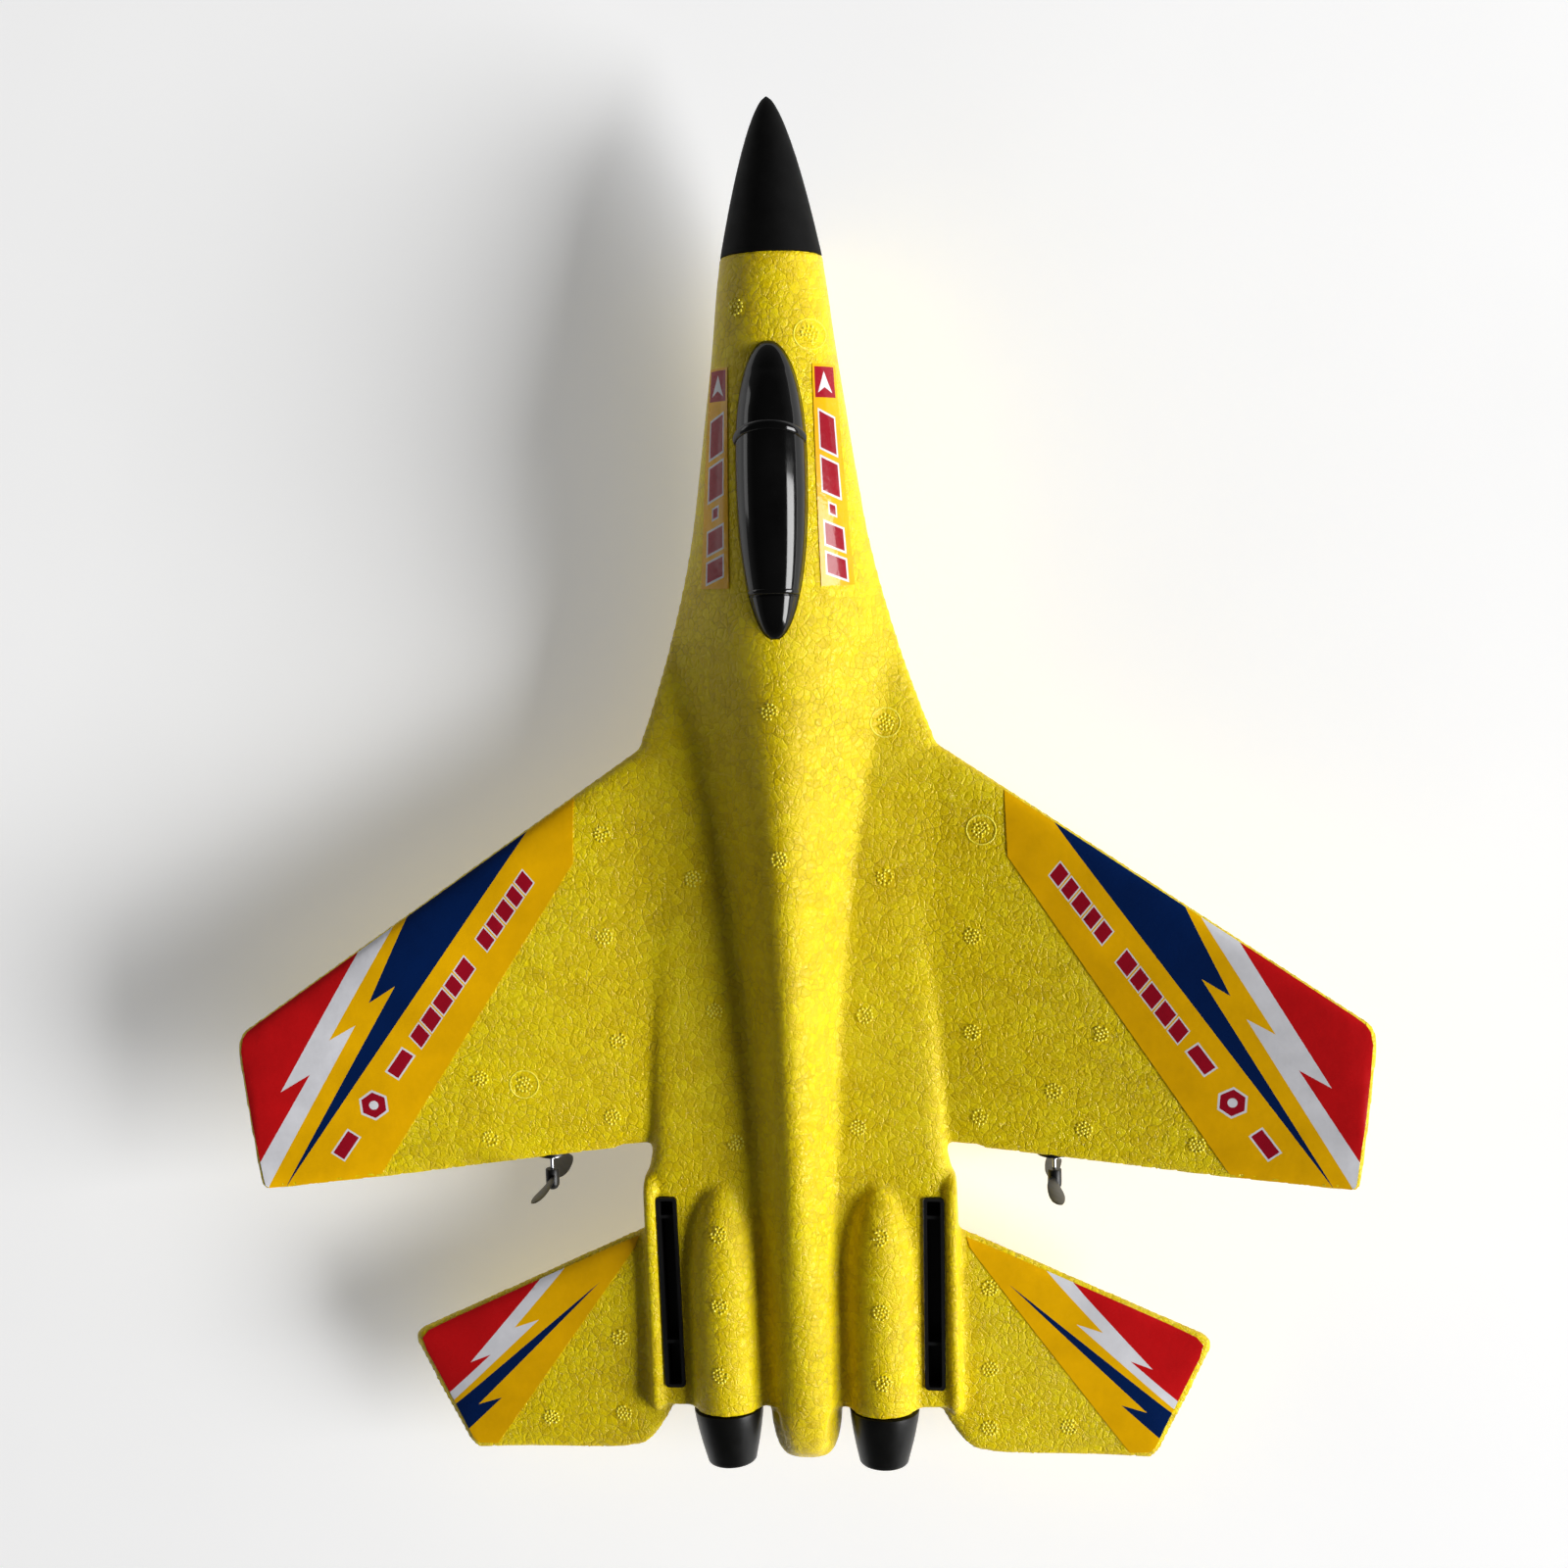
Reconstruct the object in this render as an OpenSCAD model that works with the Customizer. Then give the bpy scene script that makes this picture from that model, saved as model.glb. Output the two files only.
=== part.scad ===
// Radio-controlled foam jet aeroplane with twin pusher propellers.
// X spans the wing (left wing at +X), the nose points to -Y, +Z is up.
// Z = 0 is the plane on which the two intake boxes rest. Millimetres.
// Stations run aft from the nose tip; heights are counted from the wing plane.
// A loop variable s is always a station. Paired pieces are drawn on the left and mirrored.

/* [Airframe] */
// Height of the wing plane above the belly rest plane
wing_height = 28; // [27:0.5:30]
// Rise of each wing tip above the wing root
tip_rise = 12; // [9:1:14]
// Wing thickness at the root
wing_thickness = 8; // [7.6:0.2:9]
// Height of the spine just behind the canopy
spine_height = 20.4; // [19.6:0.2:22]
// Height of the canopy above its seat
canopy_height = 12; // [10.5:0.5:14]

/* [Propulsion] */
// Propeller radius
prop_radius = 22; // [17:0.5:23]
// Blade pitch angle at the tip
tip_pitch = 20; // [14:1:28]

/* [Fittings] */
// Width of each fin socket
socket_width = 5.5; // [4.8:0.1:5.7]
// Depth of each fin socket
socket_depth = 9; // [7:0.5:10]
// Battery length
battery_length = 33; // [26:1:34]
// Thickness of the battery
battery_thickness = 9; // [6:0.5:9.5]

/* [Hidden] */
total_length = 371.5;
fit = 0.15; // gap between a fitted part and the foam
nose_length = 41;
nose_base_radius = 13.4;
body_end = 354.6;
engine_x = 21.9;
engine_z = 1.3;
nozzle_station = body_end + 1;

pod_x = 70;
pod_z = wing_mid(pod_x) - 4.4;
pod_radius = 4.7;
pod_flange_station = 271; // middle of the square flange
pod_flange_half = 8;
pod_flange_top = pod_z + 2.3;
prop_station = 290.5;

socket_front = 294.3;
socket_rear = 349;
socket_top = 5.3;
socket_mid = (socket_front + socket_rear) / 2;
socket_length = socket_rear - socket_front;

tray_front = 84;
tray_rear = 164;
tray_bottom = -15.3;
tray_top = 1.5;
tray_half = 12;
plate_bottom = -16.6; // hatch and cover plates
plate_top = -15.4;
plate_half = 11.6;
hinge_station = 85.3;
hinge_z = -15.9;

battery_front = 104.7 - battery_length / 2;
battery_rear = battery_front + battery_length;
battery_bottom = -14.4;
battery_top = battery_bottom + battery_thickness;
plug_z = -8.6;
board_bottom = -6;
board_top = -5;
board_post_x = 7.2;
board_post_station = 143.5;
part_top = board_bottom - 0.02; // parts hang below the board

switch_x = -5.5;
switch_station = 143;
led_x = 5.5;
led_station = 136;
jack_x = 5.2;
jack_station = 149;

decal_colour = [0.8, 0.6, 0.06];
connector_colour = [0.9, 0.89, 0.84];

// ---------- placing ----------
function y_at(station) = station - total_length / 2;
function spot(x, station, z) = [x, y_at(station), wing_height + z];
function around(middle, half) = [middle - half, middle + half];
module place(x, station, z) translate(spot(x, station, z)) children();
// Turns local +Z to point aft
module along(x, station, z) place(x, station, z) rotate([-90, 0, 0]) children();
module on_pod(station) along(pod_x, station, pod_z) children();
// Turns local +Z to point along +X, on the hatch hinge
module on_hinge(x) place(x, hinge_station, hinge_z) rotate([0, 90, 0]) children();
module at_screws(z) for (x = [9.4, -9.4], s = [127.2, 160.6]) place(x, s, z) children();
module nozzle_frame() along(engine_x, nozzle_station, engine_z) rotate([0, -2, 0]) children();
module socket_frame() place(36.6, socket_mid, socket_top) rotate([0, 0, 0.75]) children();
module mirrored() mirror([1, 0, 0]) children();
module both() {
  children();
  mirrored() children();
}

// ---------- shared shapes ----------
// Block given by its [from, to] spans
module slab(x, stations, z) place(x[0], stations[0], z[0])
  cube([x[1] - x[0], stations[1] - stations[0], z[1] - z[0]]);

module rounded_rect(x0, x1, y0, y1, radius) polygon([
  for (c = [
      [x1 - radius, y1 - radius, 0], [x0 + radius, y1 - radius, 90],
      [x0 + radius, y0 + radius, 180], [x1 - radius, y0 + radius, 270]], k = [0:4])
    [c[0] + radius * cos(c[2] + k * 22.5), c[1] + radius * sin(c[2] + k * 22.5)]]);

module rounded_bar(width, length, radius) translate([-width / 2, -length / 2])
  rounded_rect(0, width, 0, length, radius);

// Closed skin over a row of rings that all hold the same number of points;
// flip turns it the right way out when the rings run the other way round
module skin(rings, flip = false) {
  n = len(rings);
  size = len(rings[0]);
  last = (n - 1) * size;
  polyhedron(
    points = [for (r = rings) each r],
    faces = [
      flip ? [for (j = [size - 1:-1:0]) j] : [for (j = [0:size - 1]) j],
      flip ? [for (j = [0:size - 1]) last + j] : [for (j = [size - 1:-1:0]) last + j],
      for (i = [0:n - 2], j = [0:size - 1])
        let (a = i * size + j, b = i * size + (j + 1) % size, c = a + size, d = b + size)
          each (flip ? [[a, b, c], [b, d, c]] : [[a, c, b], [b, c, d]])
    ], convexity = 10);
}

// Closed sheet between two grids of points
module sheet(lower, upper) {
  rows = len(lower);
  size = len(lower[0]);
  o = rows * size; // first point of the lower grid
  last = (rows - 1) * size;
  polyhedron(
    points = concat([for (r = upper) each r], [for (r = lower) each r]),
    faces = [
      for (i = [0:rows - 2], j = [0:size - 2]) let (a = i * size + j, c = a + size) each [
        [a, a + 1, c], [a + 1, c + 1, c],
        [o + a, o + c, o + a + 1], [o + a + 1, o + c, o + c + 1]],
      for (i = [0:rows - 2])
        let (a = i * size, c = a + size, e = a + size - 1, g = c + size - 1) each [
          [a, c, o + a], [c, o + c, o + a], [e, o + e, g], [g, o + e, o + g]],
      for (j = [0:size - 2]) let (a = last + j) each [
        [j, o + j, j + 1], [j + 1, o + j, o + j + 1],
        [a, a + 1, o + a], [a + 1, o + a + 1, o + a]]
    ], convexity = 4);
}

// Tube along [x, station, z] points whose rings all stand square to the fore-and-aft line
module wire_run(path, radius) skin(
  [for (p = path) [for (k = [0:9])
    spot(p[0] + radius * cos(36 * k), p[1], p[2] + radius * sin(36 * k))]],
  flip = path[0][1] < path[len(path) - 1][1]);

// Round channel along [x, station, z] points
module channel(path, radius, facets) for (i = [0:len(path) - 2]) hull()
  for (p = [path[i], path[i + 1]]) place(p[0], p[1], p[2]) sphere(radius, $fn = facets);

// ---------- curves ----------
function clamp01(value) = min(1, max(0, value));
function fraction(value, from, to) = clamp01((value - from) / (to - from));
function segment(table, x, i = 0) =
  (i >= len(table) - 2 || x < table[i + 1][0]) ? i : segment(table, x, i + 1);
function slope(table, i) =
  let (a = max(i - 1, 0), b = min(i + 1, len(table) - 1))
  (table[b][1] - table[a][1]) / (table[b][0] - table[a][0]);
// Smooth cubic through the points of a table
function curve(table, x) =
  let (
    i = segment(table, x),
    from = table[i],
    to = table[i + 1],
    run = to[0] - from[0],
    part = fraction(x, from[0], to[0]),
    squared = part * part,
    cubed = squared * part)
  (2 * cubed - 3 * squared + 1) * from[1] + (cubed - 2 * squared + part) * slope(table, i) * run
  + (3 * squared - 2 * cubed) * to[1] + (cubed - squared) * slope(table, i + 1) * run;
function smooth_max(a, b, blend) =
  let (share = clamp01(0.5 + 0.5 * (a - b) / blend))
  b * (1 - share) + a * share + blend * share * (1 - share);
// Superellipse quarter: 1 at the middle, 0 at x = 1
function dome(x, power) = abs(x) >= 1 ? 0 : sqrt(1 - pow(abs(x), power));

// ---------- centre body ----------
// Body tables: [station, value]. Widths are half widths.
half_width = [[41, 13.4], [50, 14.7], [66, 16.5], [81, 18.6], [100, 21.4], [116, 24.1],
  [131, 27.7], [147, 32.3], [163, 37.8], [170, 40.4], [177, 41], [280, 40.8], [286, 41.8],
  [292, 43.1], [300, 43.6], [357, 43.6]];
// Spine along the top
core_top = [[41, 13.3], [66, 15.2], [100, 18.2], [125, 19.8], [140, spine_height],
  [170, spine_height - 0.3], [200, spine_height - 1.4], [240, spine_height - 3.4],
  [280, 14.4], [320, 12.6], [357, 11.6]];
ridge_width = [[41, 13.4], [50, 14.7], [66, 16.5], [81, 18.6], [100, 21.4], [116, 24.1],
  [131, 27.7], [143, 30.2], [155, 29], [170, 25], [185, 21.5], [200, 18.6], [223, 15.6],
  [250, 13], [280, 11.4], [300, 10.4], [320, 9.6], [357, 8.6]];
ridge_power = [[41, 0.5], [85, 0.5], [105, 0.66], [120, 0.95], [135, 1.4], [150, 1.75],
  [175, 1.75], [225, 1.55], [285, 1.5], [305, 1.1], [325, 0.8], [357, 0.6]];
// Rounded core underneath
core_width = [[41, 13.4], [66, 16.5], [81, 18.6], [100, 20.6], [120, 21.4], [140, 21.4],
  [170, 20.4], [200, 18.4], [240, 14], [280, 10.4], [300, 8.6], [357, 8]];
core_depth = [[41, 13.3], [66, 15.4], [84, 17.5], [165, 17.5], [200, 15], [250, 11.5],
  [300, 9], [357, 7]];
core_power = [[41, 2], [84, 5], [165, 5], [220, 3], [357, 3]];
core_blend = [[41, 0.1], [66, 0.6], [95, 4], [130, 8], [170, 11], [220, 11], [260, 7],
  [300, 3], [357, 2.6]];
// Flat deck to either side
deck_top = [[41, 0.1], [70, 0.6], [95, 2], [120, 3.2], [170, 4], [235, 4.4], [280, 4.6],
  [357, 4.7]];
deck_depth = [[41, 0.1], [70, 0.6], [95, 2], [120, 3], [170, 4], [280, 5], [357, 6]];
edge_power = [[41, 2], [100, 4], [170, 6], [235, 12], [280, 18], [357, 18]];
// Spacing of ring points over a half width: [even share, share used]
spacing = [[0, 0], [0.35, 0.25], [0.8, 0.88], [0.93, 0.975], [1, 1]];
body_steps = 41;

// Round core that carries on past its own edge, so that the blend stays smooth
function core(x, width, depth, power) =
  abs(x) < width ? depth * dome(x / width, power) : -3 * (abs(x) - width);
// Rounded in front, then a bell-shaped ridge that runs out smoothly onto a flat deck
function body_top(x, station) =
  let (
    half = curve(half_width, station),
    ridge = min(half, curve(ridge_width, station)),
    deck = curve(deck_top, station))
  deck * dome(x / half, curve(edge_power, station))
  + (curve(core_top, station) - deck)
    * pow(max(0, 1 - pow(x / ridge, 2)), curve(ridge_power, station));
function body_low(x, station) =
  let (
    half = curve(half_width, station),
    width = min(half, curve(core_width, station) + 3 * fraction(station, 170, 230)))
  -smooth_max(
    core(x, width, curve(core_depth, station), curve(core_power, station)),
    curve(deck_depth, station) * dome(x / half, curve(edge_power, station)),
    curve(core_blend, station));
function body_x(station, j, steps) =
  let (share = fraction(station, 150, 250), even = 2 * j / steps - 1)
  curve(half_width, station)
    * ((1 - share) * -cos(180 * j / steps) + share * sign(even) * lookup(abs(even), spacing));
function body_ring(station, top_steps = 38, low_steps = 16) =
  let (half = curve(half_width, station))
  concat(
    [spot(-half, station, 0)],
    [for (j = [1:top_steps - 1]) let (x = body_x(station, j, top_steps))
      spot(x, station, body_top(x, station))],
    [spot(half, station, 0)],
    [for (j = [low_steps - 1:-1:1]) let (x = body_x(station, j, low_steps))
      spot(x, station, body_low(x, station))]);
module centre_body() skin([for (i = [0:body_steps])
  body_ring(nose_length + i * (body_end - nose_length) / body_steps)]);

// ---------- wing and tailplane ----------
// Upper section: [share of chord, share of half thickness]
section = [[0, 0], [0.01, 0.42], [0.03, 0.66], [0.07, 0.85], [0.14, 0.96], [0.25, 1],
  [0.4, 0.97], [0.55, 0.88], [0.7, 0.75], [0.84, 0.6], [0.94, 0.47], [0.98, 0.34], [1, 0]];
underside = 0.92; // lower surface in proportion to the upper
// Leading and trailing edges: [x, station]; half thicknesses: [x, half]
wing_leading = [[34, 165.6], [40.2, 169.8], [151, 244.2], [152.3, 245.6], [153, 247.4],
  [153.3, 249]];
wing_trailing = [[34, 279.7], [40.6, 280.2], [113.6, 287.1], [147, 289.7], [148.8, 289.8],
  [149.6, 287.6], [150.6, 278], [151.7, 269.5], [152.8, 257.5], [153.3, 254]];
wing_x = [34, 44, 58, 76, 96, 116, 134, 146, 148.8, 149.6, 150.6, 151.7, 152.8, 153.3];
wing_half = [[34, wing_thickness / 2], [146, 2.6], [149.6, 2.3], [152, 1.9], [153.3, 1.2]];
tail_leading = [[34, 303.4], [43.9, 304.2], [109.5, 334.6], [111.2, 335.9], [112, 338]];
tail_trailing = [[34, 355.6], [37.8, 356.7], [41, 362.1], [44, 366.3], [47.2, 368.6],
  [56.9, 369.1], [87.4, 369.8], [95.6, 370.4], [97.4, 368.6], [102.3, 358.6], [106.6, 350],
  [111.2, 339.8], [112, 339.2]];
tail_x = [34, 37.8, 41, 44, 47.2, 60, 74, 87.4, 95.6, 97.4, 102.3, 106.6, 109.5, 111.2, 112];
tail_half = [[34, 2.8], [95, 2.1], [109.5, 1.8], [112, 1.1]];

function wing_mid(x) = x < 40 ? 0 : tip_rise * (x - 40) / 110;
function tail_mid(x) = x < 44 ? 0 : -2 * (x - 44) / 68;
function panel_top(x, station, leading, trailing, half) =
  lookup(x, half) * lookup(fraction(station, lookup(x, leading), lookup(x, trailing)), section);
function wing_top(x, station) =
  wing_mid(x) + panel_top(x, station, wing_leading, wing_trailing, wing_half);
function tail_top(x, station) =
  tail_mid(x) + panel_top(x, station, tail_leading, tail_trailing, tail_half);
function panel_ring(x, leading, trailing, middle, half) =
  let (
    front = lookup(x, leading),
    chord = lookup(x, trailing) - front,
    thick = lookup(x, half))
  concat(
    [for (p = section) spot(x, front + p[0] * chord, middle + thick * p[1])],
    [for (i = [len(section) - 2:-1:1]) let (p = section[i])
      spot(x, front + p[0] * chord, middle - underside * thick * p[1])]);
module wing_panel() skin(
  [for (x = wing_x) panel_ring(x, wing_leading, wing_trailing, wing_mid(x), wing_half)],
  flip = true);
module tail_panel() skin(
  [for (x = tail_x) panel_ring(x, tail_leading, tail_trailing, tail_mid(x), tail_half)],
  flip = true);

// ---------- foam details ----------
// Engine hump: ogive in front, straight barrel behind
hump_radius = 9.75;
hump_full = 322; // station where the barrel starts
hump_end = body_end + 0.5;
function hump_r(station) =
  station < hump_full ? hump_radius * dome((hump_full - station) / 33.7, 2.2) : hump_radius;
module engine_hump() along(engine_x, 0, engine_z)
  rotate_extrude($fn = 36) polygon(concat(
    [[0, hump_end], [0, 288.4]],
    [for (s = [289, 290.5, 293, 297, 302, 308, 315, hump_full, hump_end]) [hump_r(s), s]]));

// Stinger between the nozzles, a low and a high body: [station, half width, top, bottom]
stinger_low = [[340, 9.6, 5, -6], [356, 10, 6.4, -6], [361, 9.5, 6, -5.2],
  [365, 8.6, 5.4, -4.2], [368, 7.2, 4.6, -3], [369.6, 5.4, 3.6, -1.6],
  [370.2, 3.4, 2.4, -0.4]];
stinger_high = [[346, 7, 11, 0], [355, 7.2, 11.3, 0], [360, 6.8, 10.2, 0], [364, 6, 8.6, 0],
  [367, 5, 6.8, 0], [369, 3.6, 4.6, 0]];
function squared_off(value) = sign(value) * pow(abs(value), 0.8);
function oval(station, half, top, bottom, points = 28) = [for (j = [0:points - 1])
  spot(half * squared_off(-cos(360 * j / points)), station,
    (top + bottom) / 2 + (top - bottom) / 2 * squared_off(sin(360 * j / points)))];
module stinger() for (table = [stinger_low, stinger_high])
  skin([for (q = table) oval(q[0], q[1], q[2], q[3])]);

// Intake box under each wing root:
// [station, inner x, outer x, bottom, top, corner radius, forward rake per unit of height]
rest = -wing_height;
box_slices = [
  [175, 11, 31.5, rest + 1.6, -1, 3, 0.45],
  [190, 10.8, 32, rest, -1, 3, 0],
  [262, 11.4, 32, rest, -1, 3.4, 0],
  [304, 12, 31.9, rest + 7, -1, 5, 0],
  [body_end, 12.6, 31.2, engine_z - 9.2, -1, 5.6, 0]];
mouth_slices = [
  [160, 13.4, 29.4, rest + 3.4, -6.4, 2, 0.45],
  [183, 14, 29, rest + 4, -7, 2, 0.45]];
module box_slice(row) place(0, row[0], 0)
  multmatrix([[1, 0, 0, 0], [0, 1, -row[6], 0], [0, 0, 1, 0], [0, 0, 0, 1]])
    rotate([90, 0, 0]) translate([0, 0, -0.3]) linear_extrude(0.3)
      rounded_rect(row[1], row[2], row[3], row[4], row[5]);
module box_run(rows) for (i = [0:len(rows) - 2]) hull() {
  box_slice(rows[i]);
  box_slice(rows[i + 1]);
}

// Raised rim around each fin socket: [station, x, height]
rim_posts = [[289.5, 41.6, 4], [293, 41.9, 6], [352.5, 41.6, 6], [355.6, 41.4, 5]];
module socket_rim() hull()
  for (q = rim_posts) place(q[1], q[0], 0) cylinder(r = 1.55, h = q[2], $fn = 20);

// Run from the motor to the equipment tray, shared by the wires and their groove
wire_path = [[pod_x, 260.5, pod_z], [62, 248, pod_z - 1.1], [44, 215, -3.2], [27, 186, -6],
  [6.4, 168, -8], [6.4, 157.4, -8]];
antenna_channel = [[0, 160, -3], [0, 180, -2], [0, 262, 1]];

module canopy_seat_cut()
  skin([canopy_outline(fit, -0.05), canopy_outline(fit, 20)], flip = true);
module fin_socket_cut() socket_frame() translate([0, 0, -socket_depth - fit])
  linear_extrude(socket_depth + 8)
    rounded_bar(socket_width + 2 * fit, socket_length + 2 * fit, 1.1);
// Equipment bay, open to the belly
module bay_cut() slab(
  around(0, tray_half + fit), [tray_front - fit, tray_rear + fit], [-30, tray_top + fit]);
module motor_pod_cut() {
  radius = pod_radius + fit;
  flange = pod_flange_half + fit;
  on_pod(259.4) cylinder(r = radius, h = 40, $fn = 24);
  slab(around(pod_x, flange), around(pod_flange_station, flange),
    [pod_z - 12, pod_flange_top + fit]);
  slab(around(pod_x, radius), [259.4, 300], [pod_z - 12, pod_z]);
  channel(wire_path, radius = 1.75, facets = 10);
}

module foam_airframe() color([0.86, 0.76, 0.06]) difference() {
  union() {
    centre_body();
    both() wing_panel();
    both() tail_panel();
    both() engine_hump();
    stinger();
    both() box_run(box_slices);
    both() socket_rim();
  }
  // nose spigot
  along(0, 40, 0) cylinder(r = nose_spigot + fit, h = 9.2, $fn = 28);
  canopy_seat_cut();
  // exhaust nozzle spigots
  both() nozzle_frame() translate([0, 0, -7.4]) cylinder(r = 7.2, h = 12, $fn = 28);
  both() fin_socket_cut();
  bay_cut();
  both() motor_pod_cut();
  // open mouths of the intakes
  both() box_run(mouth_slices);
  channel(antenna_channel, radius = 0.9, facets = 12);
}

// ---------- nose ----------
nose_spigot = 9; // outer radius of the hollow spigot
nose_spigot_bore = 7.6;
nose_spigot_end = 48.5;
nose_wall = 1.5;
function nose_r(station) = nose_base_radius * pow(station / nose_length, 0.62);
module nose_cone() color([0.05, 0.05, 0.05]) along(0, 0, 0)
  rotate_extrude($fn = 96) polygon(concat(
    [[0, 0]],
    // the very tip is drawn a little sharper
    [for (s = [0.25, 0.7, 1.5, 3, 5, 8, 12, 17, 23, 29, 35, nose_length])
      [s < 1 ? nose_r(s) * (0.75 + 0.25 * s) : nose_r(s), s]],
    [[nose_spigot, nose_length], [nose_spigot, nose_spigot_end],
      [nose_spigot_bore, nose_spigot_end], [nose_spigot_bore, nose_length], [11.8, 39.6]],
    [for (s = [35, 29, 23, 17, 12, 8]) [nose_r(s) - nose_wall, s]],
    [[0, 6]]));

// ---------- canopy ----------
canopy_front = 64;
canopy_peak = 98; // station of the widest arch
canopy_steps = 18; // spans in one arch
canopy_wall = 0.9;
// Lean of the crown forward and relief of the surface: [station, amount]
canopy_rake = [[64, 0], [72, 0.4], [84, 4], [94, 4], [120, 1], [141, 0]];
canopy_relief = [[64, 0], [88.2, 0], [89, 0.65], [90.4, 0.65], [91.2, 0], [129, 0],
  [129.4, -0.45], [136, -0.2], [141, 0]];
canopy_stations = [64.1, 64.7, 66, 68, 71, 75, 80, 85, 88.2, 89, 90.4, 91.2, 95, 100, 106,
  112, 118, 124, 129, 129.4, 132, 135, 137.5, 139.2, 140.2];
function seat_z(station) = 11.3 + (station - canopy_front) * 0.055;
// 1 at the peak, falling towards both ends
function canopy_fullness(station) =
  let (
    ahead = station < canopy_peak,
    away = ahead ? (canopy_peak - station) / 34 : (station - canopy_peak) / 42.4)
  max(0.004, 1 - pow(min(1, away), ahead ? 2.5 : 2.2));
function canopy_half(station) = 9.3 * sqrt(canopy_fullness(station));
// Plan outline on the sloping seat, widened by a gap and lifted
function canopy_outline(gap, lift) =
  let (last = len(canopy_stations) - 1)
  [for (side = [-1, 1], i = side < 0 ? [0:last] : [last:-1:0])
    let (s = canopy_stations[i])
    spot(side * (canopy_half(s) + gap), s + gap * (s - canopy_peak) / 30, seat_z(s) + lift)];
// One arch: a skirt up from the seat to the foam's surface, then the dome
function canopy_arch(station, inset) =
  let (
    relief = inset > 0 ? 0 : lookup(station, canopy_relief),
    outer_half = canopy_half(station),
    outer_rise = (canopy_height - 4.9) * pow(canopy_fullness(station), 0.62),
    half = max(outer_half - inset, 0.3 * outer_half),
    rise = max(outer_rise - inset, 0.3 * outer_rise),
    foot = canopy_peak + (station - canopy_peak) * (1 - inset / 32),
    rim = body_top(outer_half, station),
    crown = body_top(0, station) + rise,
    rake = lookup(station, canopy_rake))
  concat(
    [spot(-half, foot, seat_z(foot))],
    [for (j = [0:canopy_steps - 2])
      let (angle = 180 * j / (canopy_steps - 2), swell = relief * min(1, 4 * sin(angle)))
      spot(-(half + swell) * cos(angle), foot - rake * sin(angle),
        rim + (crown - rim + swell) * pow(sin(angle), 0.95))],
    [spot(half, foot, seat_z(foot))]);
module canopy() color([0.03, 0.03, 0.03]) {
  m = canopy_steps;
  row = m + 1;
  n = len(canopy_stations);
  o = row * n; // first point of the inner shell
  last = (n - 1) * row;
  polyhedron(
    points = [for (inset = [0, canopy_wall], s = canopy_stations) each canopy_arch(s, inset)],
    faces = [
      // outer and inner shells
      for (i = [0:n - 2], j = [0:m - 1]) let (a = i * row + j, c = a + row) each [
        [a, c, a + 1], [a + 1, c, c + 1],
        [o + a, o + a + 1, o + c], [o + a + 1, o + c + 1, o + c]],
      // bottom edges along both sides
      for (i = [0:n - 2]) let (a = i * row, c = a + row, e = a + m, g = c + m) each [
        [a, o + a, c], [c, o + a, o + c], [e, g, o + e], [g, o + g, o + e]],
      // bottom edges at both ends
      [0, m, o + m], [0, o + m, o],
      [last + m, last, o + last], [last + m, o + last, o + last + m],
      // end arches
      for (j = [1:m - 1]) let (e = last) each [
        [0, j, j + 1], [o, o + j + 1, o + j],
        [e, e + j + 1, e + j], [o + e, o + e + j, o + e + j + 1]]
    ], convexity = 6);
}

// ---------- exhaust nozzle ----------
// Closed outline: [radius, distance aft of the body]
nozzle_outline = [[0, 0], [0, -1.2], [5.6, -1.2], [5.6, -7.2], [7, -7.2], [7, 0], [9.7, 0],
  [9.35, 3.5], [8.6, 8], [7.7, 12], [6.95, 15.1], [6.5, 15.68], [5.9, 15.4], [6.6, 12],
  [7.4, 8], [8.1, 3.4], [8.1, 1.4], [0, 1.4]];
module exhaust_nozzle() color([0.06, 0.06, 0.05]) nozzle_frame()
  rotate_extrude($fn = 96) polygon(nozzle_outline);

// ---------- fin socket ----------
module fin_socket() color([0.04, 0.04, 0.04]) socket_frame() {
  difference() {
    translate([0, 0, -socket_depth]) linear_extrude(socket_depth)
      rounded_bar(socket_width, socket_length, 1);
    translate([0, 0, 1 - socket_depth]) linear_extrude(socket_depth)
      rounded_bar(socket_width - 1.8, socket_length - 1.8, 0.5);
  }
  // cross webs
  for (s = [300, 336])
    translate([-socket_width / 2 + 0.5, s - socket_mid - 0.5, 0.5 - socket_depth])
      cube([socket_width - 1, 1, socket_depth - 1.5]);
}

// ---------- decals ----------
// Thin printed film lying just above a curved surface. On the wing and tail it is cut
// off behind by the plan edges and by a slanting line.
wing_film_x = [58.3, 62, 68, 76, 84, 90, 96, 103, 110, 116, 118, 126, 134, 140, 146, 148.8,
  149.6, 150.6, 151.4];
tail_film_x = [46, 52, 60, 67, 74, 81, 87.4, 90, 93, 95.6, 97.4, 102.3, 106.6, 109.2];
function wing_film_front(x) = lookup(x, wing_leading) + (x > 150 ? 1.6 : 0.7);
function wing_film_rear(x) = max(wing_film_front(x) + 2,
  min(lookup(x, wing_trailing) - (x > 149 ? 1.6 : 0.8), 200 + 1.5 * (x - 59.2)));
function tail_film_front(x) = lookup(x, tail_leading) + 1.3;
function tail_film_rear(x) = max(tail_film_front(x) + 1,
  min(lookup(x, tail_trailing) - 1.3, 307.6 + 1.41 * (x - 45.4)));
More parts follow.
